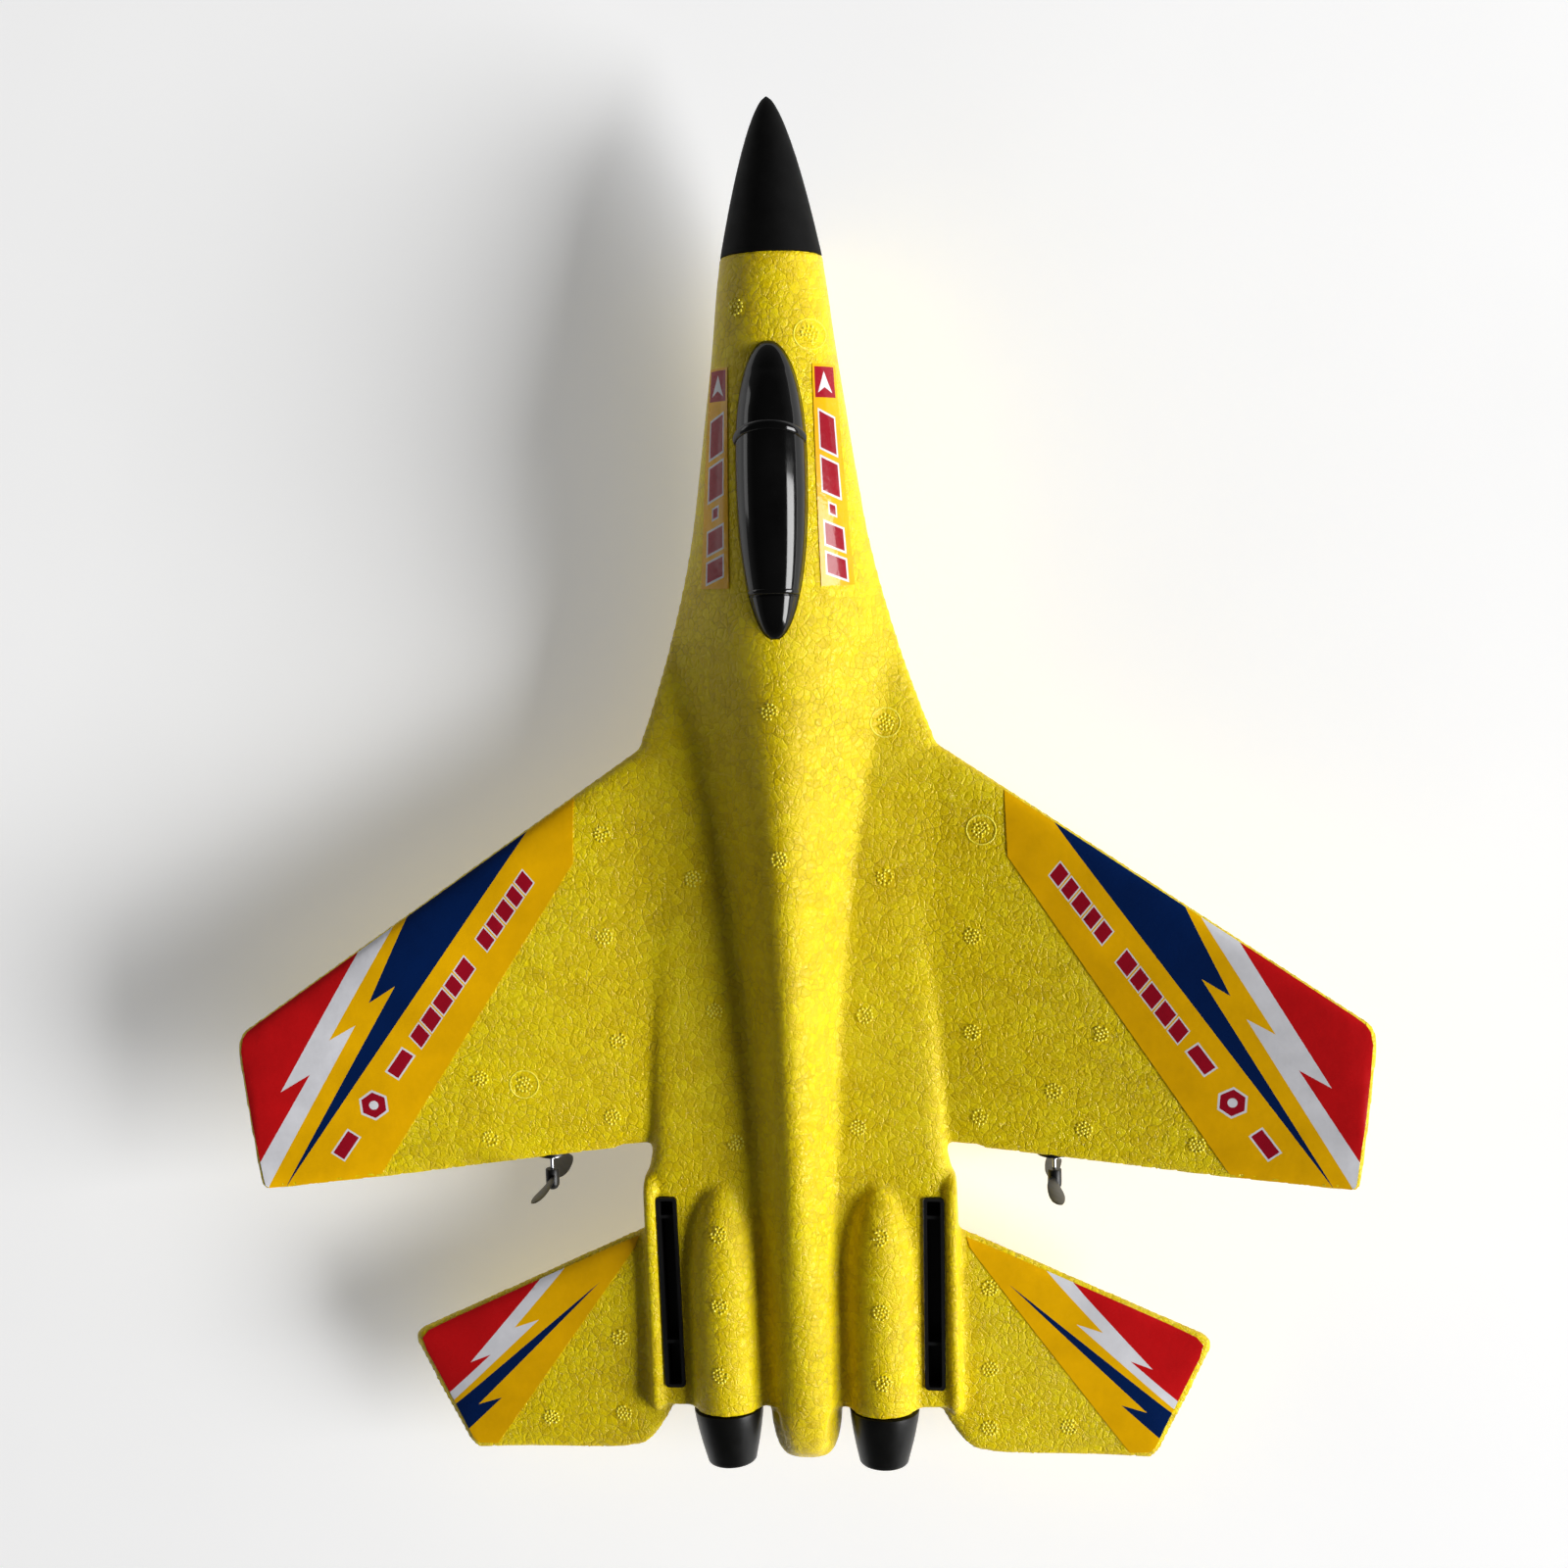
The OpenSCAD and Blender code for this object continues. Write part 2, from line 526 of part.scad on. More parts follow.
// Stations closer together near the leading edge
function spread(front, rear, steps = 14) =
  [for (j = [0:steps]) front + (rear - front) * pow(j / steps, 1.5)];
function wing_film(lift) = [for (x = wing_film_x)
  [for (s = spread(wing_film_front(x), wing_film_rear(x))) spot(x, s, wing_top(x, s) + lift)]];
function tail_film(lift) = [for (x = tail_film_x)
  [for (s = spread(tail_film_front(x), tail_film_rear(x))) spot(x, s, tail_top(x, s) + lift)]];
// Point lifted square to the body's cross-section; share runs from the inner edge outward
function flank_point(station, share, lift) =
  let (
    inner = 10.8 + (station - 70) * 0.018,
    outer = 16.3 + (station - 70) * 0.07,
    x = inner + (outer - inner) * share,
    gradient = (body_top(x + 0.05, station) - body_top(x - 0.05, station)) / 0.1,
    norm = sqrt(1 + gradient * gradient))
  spot(x - gradient * lift / norm, station, body_top(x, station) + lift / norm);
function flank_film(lift) =
  [for (share = [0:0.1:1]) [for (s = [70:3:127]) flank_point(s, share, lift)]];
module wing_decal() color(decal_colour) sheet(wing_film(0.38), wing_film(0.58));
module tail_decal() color(decal_colour) sheet(tail_film(0.16), tail_film(0.36));
module flank_decal() color(decal_colour) sheet(flank_film(0.14), flank_film(0.36));

// ---------- equipment bay ----------
module equipment_tray() color([0.08, 0.08, 0.09]) difference() {
  union() {
    difference() {
      slab(around(0, tray_half), [tray_front, tray_rear], [tray_bottom, tray_top]);
      // battery and electronics compartments
      for (stations = [[tray_front + 2.4, 122.9], [124.1, tray_rear - 1]])
        slab(around(0, tray_half - 1), stations, [tray_bottom - 5, tray_top - 1]);
      // room for the hatch barrel
      slab([-8.2, 8.2], [tray_front - 1, tray_front + 3], [tray_bottom - 2, hinge_z + 2.1]);
    }
    at_screws(tray_bottom) cylinder(r = 1.9, h = tray_top - tray_bottom - 0.5, $fn = 32);
    // hinge knuckles
    for (x = [-11.9, 8.4]) {
      on_hinge(x) cylinder(r = 1.2, h = 3.5, $fn = 32);
      slab([x + 0.1, x + 3.4], around(hinge_station, 0.9), [hinge_z, tray_bottom + 1.1]);
    }
    // posts that carry the receiver board
    for (x = [-board_post_x, board_post_x]) place(x, board_post_station, board_bottom)
      cylinder(r = 1.2, h = tray_top + 5.5, $fn = 24);
  }
  at_screws(tray_bottom - 0.1) cylinder(r = 0.85, h = 6.1, $fn = 32);
  on_hinge(-13) cylinder(r = 0.52, h = 26, $fn = 32);
  // lead notch, wire holes and antenna hole
  slab([-3, 3], [122, 125], [-11, -4]);
  for (x = [-6.4, 6.4]) along(x, 162.5, -8) cylinder(r = 1.7, h = 2, $fn = 32);
  along(0, 162.5, -3) cylinder(r = 0.8, h = 2, $fn = 24);
}

module battery_hatch() color([0.06, 0.06, 0.07]) difference() {
  union() {
    slab(around(0, plate_half), [hinge_station + 1.35, 123.4], [plate_bottom, plate_top]);
    on_hinge(-8) cylinder(r = 1.15, h = 16, $fn = 32);
    slab([-8, 8], [hinge_station, hinge_station + 2], [plate_bottom, plate_top + 0.3]);
    // snap tongue at the free end
    slab([-4, 4], [121.2, 122.2], [plate_bottom, plate_top + 2.2]);
    // raised ribs on the outside
    for (s = [112:2:118])
      slab([-5, 5], [s, s + 0.8], [plate_bottom - 0.35, plate_bottom + 0.2]);
  }
  on_hinge(-9) cylinder(r = 0.56, h = 18, $fn = 32);
  // round recess at the free end
  place(0, 124.2, plate_bottom - 1) cylinder(r = 2.6, h = 1.9, $fn = 32);
}

module hatch_hinge_pin() color([0.7, 0.7, 0.72])
  on_hinge(-11.8) cylinder(r = 0.5, h = 23.6, $fn = 32);

module electronics_cover() color([0.06, 0.06, 0.07]) difference() {
  below = plate_bottom - 1;
  through = [below, plate_top + 1];
  slab(around(0, plate_half), [124.2, 163.6], [plate_bottom, plate_top]);
  at_screws(below) {
    cylinder(r = 0.95, h = 4, $fn = 32);
    cylinder(r = 1.75, h = 1.7, $fn = 32);
  }
  slab(around(switch_x, 1.1), around(switch_station, 2.6), through);
  place(led_x, led_station, below) cylinder(r = 1.6, h = 4, $fn = 32);
  slab(around(jack_x, 3.1), around(jack_station, 2.4), through);
}

module cover_screws() color([0.62, 0.62, 0.64]) at_screws(plate_bottom) difference() {
  union() {
    cylinder(r = 1.6, h = 0.65, $fn = 32);
    cylinder(r = 0.8, h = 6.5, $fn = 32);
  }
  // cross slot
  for (a = [0, 90]) rotate([0, 0, a]) translate([-1, -0.2, -0.1]) cube([2, 0.4, 0.45]);
}

module battery() color([0.72, 0.74, 0.78]) {
  along(-10, battery_front, battery_bottom) mirror([0, 1, 0])
    linear_extrude(battery_length - 2) rounded_rect(0, 20, 0, battery_thickness, 2);
  slab([-8, 8], [battery_rear - 1.9, battery_rear], [battery_bottom + 1.5, battery_top - 1.5]);
}
module battery_pad() color([0.2, 0.2, 0.22])
  slab([-9, 9], [92, 117], [battery_top + 0.1, tray_top - 1.1]);

lead_x = 1.3;
lead_z = battery_bottom + min(battery_thickness - 2.5, 5.8);
module battery_lead() for (x = [-lead_x, lead_x])
  color(x < 0 ? [0.75, 0.05, 0.05] : [0.05, 0.05, 0.05])
    wire_run([[x, battery_rear + 0.05, lead_z], [x, 125.5, plug_z], [x, 129, plug_z]], 0.5);
module battery_plug() color(connector_colour) difference() {
  slab([-2.9, 2.9], [128.6, 134], [-10.4, -6.8]);
  for (x = [-lead_x, lead_x]) along(x, 128, plug_z) cylinder(r = 0.55, h = 2, $fn = 24);
  slab([-2, 2], [130.2, 132.4], [-11, -10]);
}
module battery_socket() color(connector_colour) difference() {
  slab([-3.6, 3.6], [131.2, 137.6], [-11, -6.1]);
  slab([-3, 3], [131, 134.2], [-10.5, -6.7]);
}

module receiver_board() color([0.05, 0.3, 0.14]) difference() {
  slab([-8.6, 8.6], [130.5, 157], [board_bottom, board_top]);
  for (x = [-board_post_x, board_post_x]) place(x, board_post_station, board_bottom - 1)
    cylinder(r = 1.25, h = 3, $fn = 24);
}
module control_chip() color([0.05, 0.05, 0.06]) {
  slab([-2.6, 2.6], [141, 146.2], [-7.2, -6.25]);
  // legs
  for (i = [0:4], x = [-3.4, 2.5])
    slab([x, x + 0.9], [141.4 + i, 141.8 + i], [-6.5, part_top]);
}
module crystal_can() color([0.75, 0.75, 0.76]) slab([-3.4, 0], [150.5, 152.6], [-7, part_top]);
module motor_transistors() color([0.07, 0.07, 0.08])
  for (x = [-5.6, 4.2]) slab([x, x + 1.5], [152.2, 155], [-7.1, part_top]);
module antenna_wire() color([0.08, 0.08, 0.08]) wire_run(
  [[0, 157.1, -5.5], [0, 159.5, -3.4], [0, 165, -2.8], [0, 180, -2], [0, 258, 0.85]], 0.4);

// ---------- switch, charging socket, lamp ----------
module switch_body() color([0.62, 0.63, 0.65]) difference() {
  slab(around(switch_x, 1.9), around(switch_station, 4.4), [plate_top + 0.05, -11.8]);
  slab(around(switch_x, 0.9), around(switch_station, 2.4), [plate_top - 1, -13]);
}
module switch_slider() color([0.05, 0.05, 0.05]) {
  slab(around(switch_x, 0.8), [switch_station - 2.3, switch_station + 0.3], [-15, -13.2]);
  slab(around(switch_x, 0.7), [switch_station - 1.8, switch_station - 0.2],
    [plate_bottom - 1, -14.9]);
}
module charge_socket() color([0.88, 0.87, 0.82]) difference() {
  slab(around(jack_x, 3), around(jack_station, 2.3), [plate_bottom, -9.4]);
  slab(around(jack_x, 2.3), around(jack_station, 1.6), [plate_bottom - 1, -11]);
}
module charge_pins() color([0.8, 0.66, 0.3]) for (x = [-1, 1])
  slab(around(jack_x + x, 0.25), around(jack_station, 0.25), [-15.6, -10.98]);
module status_led() color([0.85, 0.1, 0.08]) place(led_x, led_station, plate_bottom) {
  translate([0, 0, 0.2]) cylinder(r = 1.5, h = 3.4, $fn = 32);
  translate([0, 0, 0.2]) sphere(1.5, $fn = 32);
  translate([0, 0, 3]) cylinder(r = 1.9, h = 0.8, $fn = 32);
}

// ---------- motor, pod and propeller ----------
shaft_front = 272.4;
module motor_pod() color([0.05, 0.05, 0.05]) difference() {
  union() {
    on_pod(262) cylinder(r = pod_radius, h = 21.5, $fn = 64);
    on_pod(259.6) cylinder(r1 = 3.4, r2 = pod_radius, h = 2.4, $fn = 64);
    slab(around(pod_x, pod_flange_half), around(pod_flange_station, pod_flange_half),
      [pod_z + 1, pod_flange_top]);
  }
  on_pod(263.4) cylinder(r = 3.56, h = 21.5, $fn = 64);
  on_pod(258) cylinder(r = 1.7, h = 6, $fn = 32);
}
module motor_can() color([0.72, 0.72, 0.74]) difference() {
  union() {
    on_pod(264) cylinder(r = 3.5, h = 20, $fn = 64);
    on_pod(284) cylinder(r = 1.1, h = 0.9, $fn = 32);
  }
  on_pod(272) cylinder(r = 0.56, h = 14, $fn = 32);
}
module motor_shaft() color([0.8, 0.8, 0.82])
  on_pod(shaft_front) cylinder(r = 0.5, h = prop_station + 1.6 - shaft_front, $fn = 32);

// Blade as drawn for a 22 mm propeller with a 20 degree tip: [radius, chord, thickness, pitch]
blade_sections = [[1.2, 2.6, 1.5, 52], [3.2, 3.2, 1.3, 46], [6, 4.6, 1.1, 40],
  [10, 5.4, 0.95, 33], [14, 5.2, 0.85, 27], [18, 4.4, 0.75, 22], [20.6, 3.2, 0.65, 20.4],
  [21.7, 1.8, 0.5, 20], [22, 0.8, 0.4, 20]];
// Thin lens: [share of chord, share of thickness]
blade_lens = [[-0.5, 0], [-0.3, 0.36], [0, 0.5], [0.3, 0.34], [0.5, 0], [0.3, -0.2],
  [0, -0.28], [-0.3, -0.22]];
function blade_ring(radius, chord, thickness, pitch) = [for (q = blade_lens)
  let (x = q[0] * chord, y = q[1] * thickness)
  [x * cos(pitch) - y * sin(pitch), x * sin(pitch) + y * cos(pitch), radius]];
module blade() skin(
  [for (q = blade_sections)
    blade_ring(q[0] * prop_radius / 22, q[1], q[2], q[3] + tip_pitch - 20)],
  flip = true);
module propeller() color([0.04, 0.04, 0.04]) place(pod_x, prop_station, pod_z) difference() {
  union() {
    rotate([-90, 0, 0]) translate([0, 0, -2.6]) cylinder(r = 1.9, h = 4.4, $fn = 48);
    rotate([-90, 0, 0]) translate([0, 0, 1.7]) cylinder(r1 = 1.9, r2 = 0.9, h = 1.6, $fn = 48);
    blade();
    rotate([0, 180, 0]) blade();
  }
  rotate([-90, 0, 0]) translate([0, 0, -3]) cylinder(r = 0.53, h = 4.8, $fn = 32);
}
// Twin wires, side by side, from the motor to the receiver
module motor_wires() for (x = [-0.62, 0.62])
  color(x < 0 ? [0.7, 0.05, 0.05] : [0.05, 0.08, 0.4])
    wire_run([for (p = concat([[pod_x, 263.8, pod_z]], wire_path)) p + [x, 0, 0]], 0.5);

foam_airframe();
nose_cone();
canopy();
exhaust_nozzle();  // left_exhaust_nozzle
mirrored() exhaust_nozzle();  // right_exhaust_nozzle
fin_socket();  // left_fin_socket
mirrored() fin_socket();  // right_fin_socket
wing_decal();  // left_wing_decal
mirrored() wing_decal();  // right_wing_decal
tail_decal();  // left_tail_decal
mirrored() tail_decal();  // right_tail_decal
flank_decal();  // left_flank_decal
mirrored() flank_decal();  // right_flank_decal
equipment_tray();
battery_hatch();
hatch_hinge_pin();
electronics_cover();
cover_screws();
battery();
battery_pad();
battery_lead();
battery_plug();
battery_socket();
receiver_board();
control_chip();
crystal_can();
motor_transistors();
antenna_wire();
switch_body();
switch_slider();
charge_socket();
charge_pins();
status_led();
motor_pod();  // left_motor_pod
mirrored() motor_pod();  // right_motor_pod
motor_can();  // left_motor_can
mirrored() motor_can();  // right_motor_can
motor_shaft();  // left_motor_shaft
mirrored() motor_shaft();  // right_motor_shaft
propeller();  // left_propeller
mirrored() propeller();  // right_propeller
motor_wires();  // left_motor_wires
mirrored() motor_wires();  // right_motor_wires
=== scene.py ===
# A yellow bead-foam toy jet: foam skin with printed film panels, black nose cone, canopy and
# nozzles, and a motor pod with a two-blade pusher propeller under each wing.
#
# Sizes are in mm. x runs to the aircraft's left, y runs aft with the nose at -y, z is up from
# the ground. Shapes are given as (x, aft, up): aft is the distance behind the nose tip and up
# the height above the wing plane. A side is 1 for left (+x) and -1 for right.
import bpy
import bmesh
import math
import random
import numpy as np
from mathutils import Matrix, Vector
from mathutils.bvhtree import BVHTree
from mathutils.geometry import delaunay_2d_cdt


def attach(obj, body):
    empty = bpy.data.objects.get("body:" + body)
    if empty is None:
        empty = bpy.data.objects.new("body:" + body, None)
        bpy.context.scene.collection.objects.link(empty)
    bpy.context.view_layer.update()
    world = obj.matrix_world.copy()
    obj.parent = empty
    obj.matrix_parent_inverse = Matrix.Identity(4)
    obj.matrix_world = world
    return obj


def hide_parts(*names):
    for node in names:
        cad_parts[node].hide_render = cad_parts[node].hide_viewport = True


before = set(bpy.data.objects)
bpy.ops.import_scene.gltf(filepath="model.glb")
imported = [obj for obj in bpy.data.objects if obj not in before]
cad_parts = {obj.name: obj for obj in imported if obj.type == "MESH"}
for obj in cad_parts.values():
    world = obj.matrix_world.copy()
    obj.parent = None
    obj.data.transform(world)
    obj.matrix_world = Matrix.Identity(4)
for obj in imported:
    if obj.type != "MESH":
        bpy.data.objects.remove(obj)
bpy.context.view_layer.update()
random.seed(7)

MM = 0.001
LENGTH = 371.5
WING_Z = 28.0                           # height of the wing plane above the ground
WING_THICK = 8.0
WING_RISE, RISE_START, RISE_SPAN = 12.0, 40, 110    # the wing climbs by WING_RISE over RISE_SPAN
NOSE_END, NOSE_RADIUS = 41, 13.4
BODY_END = 354.6
SPINE = 20.4                            # highest point of the foam body
NACELLE_X, NACELLE_UP = 21.9, 1.3
NOZZLE_AFT, NOZZLE_TOE = BODY_END + 1, math.radians(-2)
RAIL_X = 41.75                          # raised rails along the body's outer edges
SOCKET_X, SOCKET_AFT = 36.6, 321.65     # fin sockets
POD_X, PROP_AFT = 70.0, 290.5
SIDES = ((1, "left"), (-1, "right"))


def wing_mid(x):
    return 0 if x < RISE_START else WING_RISE * (x - RISE_START) / RISE_SPAN


def tail_mid(x):
    return 0 if x < 44 else -2 * (x - 44) / 68


POD_UP = wing_mid(POD_X) - 4.4
# Middle line of the motor wires from pod to body: (x, aft, up)
WIRE = [(POD_X, 260.5, POD_UP), (62, 248, POD_UP - 1.1), (44, 215, -3.2), (27, 186, -6),
        (6.4, 168, -8), (6.4, 157.4, -8)]


def place(x, aft, up):
    """Point in the frame's x, y, z."""
    return x, aft - LENGTH / 2, WING_Z + up


# ------------------------------------------------------------------ curves
def curve(table, x):
    """Smooth cubic through the (position, value) rows of a table, held level past its ends."""
    knots, values = np.array(table, float).T
    x = np.asarray(x, float)
    order = np.arange(len(knots))
    before, after = np.maximum(order - 1, 0), np.minimum(order + 1, len(knots) - 1)
    slopes = (values[after] - values[before]) / (knots[after] - knots[before])
    i = np.clip(np.searchsorted(knots, x, "right") - 1, 0, len(knots) - 2)
    gap = knots[i + 1] - knots[i]
    t = np.clip((x - knots[i]) / gap, 0, 1)
    return ((2 * t**3 - 3 * t**2 + 1) * values[i] + (t**3 - 2 * t**2 + t) * slopes[i] * gap
            + (3 * t**2 - 2 * t**3) * values[i + 1] + (t**3 - t**2) * slopes[i + 1] * gap)


def curves(rows, x):
    """Smooth values of the three columns that follow each row's position."""
    return [float(curve([(row[0], row[k]) for row in rows], x)) for k in (1, 2, 3)]


def line(table, x):
    return np.interp(x, *zip(*table))


def dome(t, power):
    return np.sqrt(np.clip(1 - np.abs(t) ** power, 0, None))


def smooth_max(a, b, blend):
    mix = np.clip(0.5 + 0.5 * (a - b) / blend, 0, 1)
    return b * (1 - mix) + a * mix + blend * mix * (1 - mix)


def stations(*spans):
    """Sorted positions from several (start, end, count) spans."""
    return np.unique(np.concatenate([np.linspace(*span) for span in spans]))


# ------------------------------------------------------------------ body sections
# Each table gives (aft, value). A flat deck spans the full width; a ridge stands on it and a
# deeper core hangs below it. Powers set how square the domes are.
HALF_WIDTH = [
    (41, 13.4), (50, 14.7), (66, 16.5), (81, 18.6), (100, 21.4), (116, 24.1), (131, 27.7),
    (147, 32.3), (163, 37.8), (170, 40.4), (177, 41), (280, 40.8), (286, 41.8), (292, 43.1),
    (300, 43.6), (357, 43.6)]
RIDGE_WIDTH = [
    (41, 13.4), (50, 14.7), (66, 16.5), (81, 18.6), (100, 21.4), (116, 24.1), (131, 27.7),
    (143, 30.2), (155, 29), (170, 25), (185, 21.5), (200, 18.6), (223, 15.6), (250, 13),
    (280, 11.4), (300, 10.4), (320, 9.6), (357, 8.6)]
RIDGE_TOP = [
    (41, 13.3), (66, 15.2), (100, 18.2), (125, 19.8), (140, SPINE), (170, SPINE - 0.3),
    (200, SPINE - 1.4), (240, SPINE - 3.4), (280, 14.4), (320, 12.6), (357, 11.6)]
RIDGE_POWER = [
    (41, 0.5), (85, 0.5), (105, 0.66), (120, 0.95), (135, 1.4), (150, 1.75), (175, 1.75),
    (225, 1.55), (285, 1.5), (305, 1.1), (325, 0.8), (357, 0.6)]
DECK_TOP = [(41, 0.1), (70, 0.6), (95, 2), (120, 3.2), (170, 4), (235, 4.4), (280, 4.6),
            (357, 4.7)]
DECK_DEPTH = [(41, 0.1), (70, 0.6), (95, 2), (120, 3), (170, 4), (280, 5), (357, 6)]
DECK_POWER = [(41, 2), (100, 4), (170, 6), (235, 12), (280, 18), (357, 18)]
CORE_WIDTH = [
    (41, 13.4), (66, 16.5), (81, 18.6), (100, 20.6), (120, 21.4), (140, 21.4), (170, 20.4),
    (200, 18.4), (240, 14), (280, 10.4), (300, 8.6), (357, 8)]
CORE_DEPTH = [(41, 13.3), (66, 15.4), (84, 17.5), (165, 17.5), (200, 15), (250, 11.5), (300, 9),
              (357, 7)]
CORE_POWER = [(41, 2), (84, 5), (165, 5), (220, 3), (357, 3)]
BLEND = [(41, 0.1), (66, 0.6), (95, 4), (130, 8), (170, 11), (220, 11), (260, 7), (300, 3),
         (357, 2.6)]
# (share of the points, share of the half width), towards the square rear sections
POINT_SPREAD = [(0, 0), (0.35, 0.25), (0.8, 0.88), (0.93, 0.975), (1, 1)]
TOP_POINTS, LOW_POINTS = 180, 90


def deck(x, aft, heights):
    share = np.minimum(np.abs(x / curve(HALF_WIDTH, aft)), 1)
    return curve(heights, aft) * dome(share, curve(DECK_POWER, aft))


def body_top(x, aft):
    width = np.minimum(curve(HALF_WIDTH, aft), curve(RIDGE_WIDTH, aft))
    ridge = np.clip(1 - (x / width) ** 2, 0, None) ** curve(RIDGE_POWER, aft)
    return deck(x, aft, DECK_TOP) + (curve(RIDGE_TOP, aft) - curve(DECK_TOP, aft)) * ridge


def body_low(x, aft):
    flare = 3 * np.clip((aft - 170) / 60, 0, 1)
    width = np.minimum(curve(HALF_WIDTH, aft), curve(CORE_WIDTH, aft) + flare)
    out = np.abs(x)
    bulge = curve(CORE_DEPTH, aft) * dome(np.minimum(out / width, 1), curve(CORE_POWER, aft))
    core = np.where(out < width, bulge, -3 * (out - width))
    return -smooth_max(core, deck(x, aft, DECK_DEPTH), curve(BLEND, aft))


def body_x(aft, j, count):
    """x of point j of count: cosine spacing in front, fading to POINT_SPREAD aft."""
    fade = np.clip((aft - 150) / 100, 0, 1)
    t = 2 * j / count - 1
    spread = fade * np.sign(t) * line(POINT_SPREAD, np.abs(t))
    return curve(HALF_WIDTH, aft) * ((1 - fade) * -np.cos(np.pi * j / count) + spread)


def body_ring(aft):
    half = curve(HALF_WIDTH, aft)
    top_x = body_x(aft, np.arange(1, TOP_POINTS), TOP_POINTS)
    low_x = body_x(aft, np.arange(LOW_POINTS - 1, 0, -1), LOW_POINTS)
    top = [place(x, aft, up) for x, up in zip(top_x, body_top(top_x, aft))]
    low = [place(x, aft, up) for x, up in zip(low_x, body_low(low_x, aft))]
    return [place(-half, aft, 0)] + top + [place(half, aft, 0)] + low


# ------------------------------------------------------------------ wing and tail sections
# Upper surface: (share of chord, share of half thickness)
SECTION = [(0, 0), (0.01, 0.42), (0.03, 0.66), (0.07, 0.85), (0.14, 0.96), (0.25, 1), (0.4, 0.97),
           (0.55, 0.88), (0.7, 0.75), (0.84, 0.6), (0.94, 0.47), (0.98, 0.34), (1, 0)]
ROOT_SECTION = [(math.sqrt(chord), height) for chord, height in SECTION]
# Leading and trailing edges: (x, aft)
WING_LE = [(34, 165.6), (40.2, 169.8), (151, 244.2), (152.3, 245.6), (153, 247.4), (153.3, 249)]
WING_TE = [(34, 279.7), (40.6, 280.2), (113.6, 287.1), (147, 289.7), (148.8, 289.8),
           (149.6, 287.6), (150.6, 278), (151.7, 269.5), (152.8, 257.5), (153.3, 254)]
TAIL_LE = [(34, 303.4), (43.9, 304.2), (109.5, 334.6), (111.2, 335.9), (112, 338)]
TAIL_TE = [(34, 355.6), (37.8, 356.7), (41, 362.1), (44, 366.3), (47.2, 368.6), (56.9, 369.1),
           (87.4, 369.8), (95.6, 370.4), (97.4, 368.6), (102.3, 358.6), (106.6, 350),
           (111.2, 339.8), (112, 339.2)]
# Half thickness: (x, mm)
WING_HALF = [(34, WING_THICK / 2), (146, 2.6), (149.6, 2.3), (152, 1.9), (153.3, 1.2)]
TAIL_HALF = [(34, 2.8), (95, 2.1), (109.5, 1.8), (112, 1.1)]
WING = (WING_LE, WING_TE, wing_mid, WING_HALF)
TAIL = (TAIL_LE, TAIL_TE, tail_mid, TAIL_HALF)


def section_height(chord):
    """Share of the half thickness, with the last 6% of the chord rounded off."""
    height = curve(ROOT_SECTION, np.sqrt(chord))
    end = 0.47 * np.sqrt(np.clip((1 - chord) / 0.06, 0, 1)) ** 0.8
    return np.where(chord > 0.94, np.minimum(height, end), height)


def panel_rings(xs, surface):
    leading, trailing, mid, half = surface
    chord = np.concatenate([np.linspace(0, 1, 60) ** 2 * 0.5, np.linspace(0.5, 0.94, 18)[1:],
                            np.linspace(0.94, 1, 12)[1:]])
    height = section_height(chord)
    rings = []
    for x in xs:
        front, back, thick = line(leading, x), line(trailing, x), line(half, x)
        top = [place(x, front + c * (back - front), mid(x) + thick * h)
               for c, h in zip(chord, height)]
        low = [place(x, front + c * (back - front), mid(x) - 0.92 * thick * h)
               for c, h in zip(chord[::-1][1:-1], height[::-1][1:-1])]
        rings.append(top + low)
    return rings


# ------------------------------------------------------------------ meshes
def make(name, verts, faces, smooth=True):
    mesh = bpy.data.meshes.new(name)
    mesh.from_pydata([tuple(c * MM for c in v) for v in verts], [], faces)
    mesh.validate()
    mesh.update()
    if smooth:
        mesh.shade_smooth()
    ob = bpy.data.objects.new(name, mesh)
    bpy.context.scene.collection.objects.link(ob)
    return ob


def outward(ob):
    """Turn all faces to point out of the solid."""
    bm = bmesh.new()
    bm.from_mesh(ob.data)
    bmesh.ops.recalc_face_normals(bm, faces=bm.faces)
    if bm.calc_volume(signed=True) < 0:
        bmesh.ops.reverse_faces(bm, faces=bm.faces)
    bm.to_mesh(ob.data)
    bm.free()
    return ob


def skin(name, rings, side=1, caps=True):
    """Solid through a row of closed rings, mirrored to the right for side -1."""
    count = len(rings[0])
    last = (len(rings) - 1) * count
    faces = []
    for start in range(0, last, count):
        for j in range(count):
            a, b = start + j, start + (j + 1) % count
            faces.append((a, b, b + count, a + count))
    if caps:
        faces.append(tuple(range(count)))
        faces.append(tuple(range(last + count - 1, last - 1, -1)))
    verts = [(side * x, y, z) for ring in rings for x, y, z in ring]
    return outward(make(name, verts, faces))


def both_sides(rings):
    return [skin("part", rings, side) for side, _ in SIDES]


def crease(ob, degrees):
    ob.data.set_sharp_from_angle(angle=math.radians(degrees))


def lathe(profile, x, up, sides, toe=0.0, start=0.0):
    """Rings of a (radius, aft) profile turned round the fore-and-aft axis at x, up."""
    rings = []
    for radius, aft in profile:
        ring = []
        for j in range(sides):
            angle = 2 * math.pi * j / sides
            across = radius * math.cos(angle)
            ring.append(place(x + across * math.cos(toe) + aft * math.sin(toe),
                              start - across * math.sin(toe) + aft * math.cos(toe),
                              up + radius * math.sin(angle)))
        rings.append(ring)
    return rings


def nozzle_rings(profile, sides):
    return lathe(profile, NACELLE_X, NACELLE_UP, sides, NOZZLE_TOE, NOZZLE_AFT)


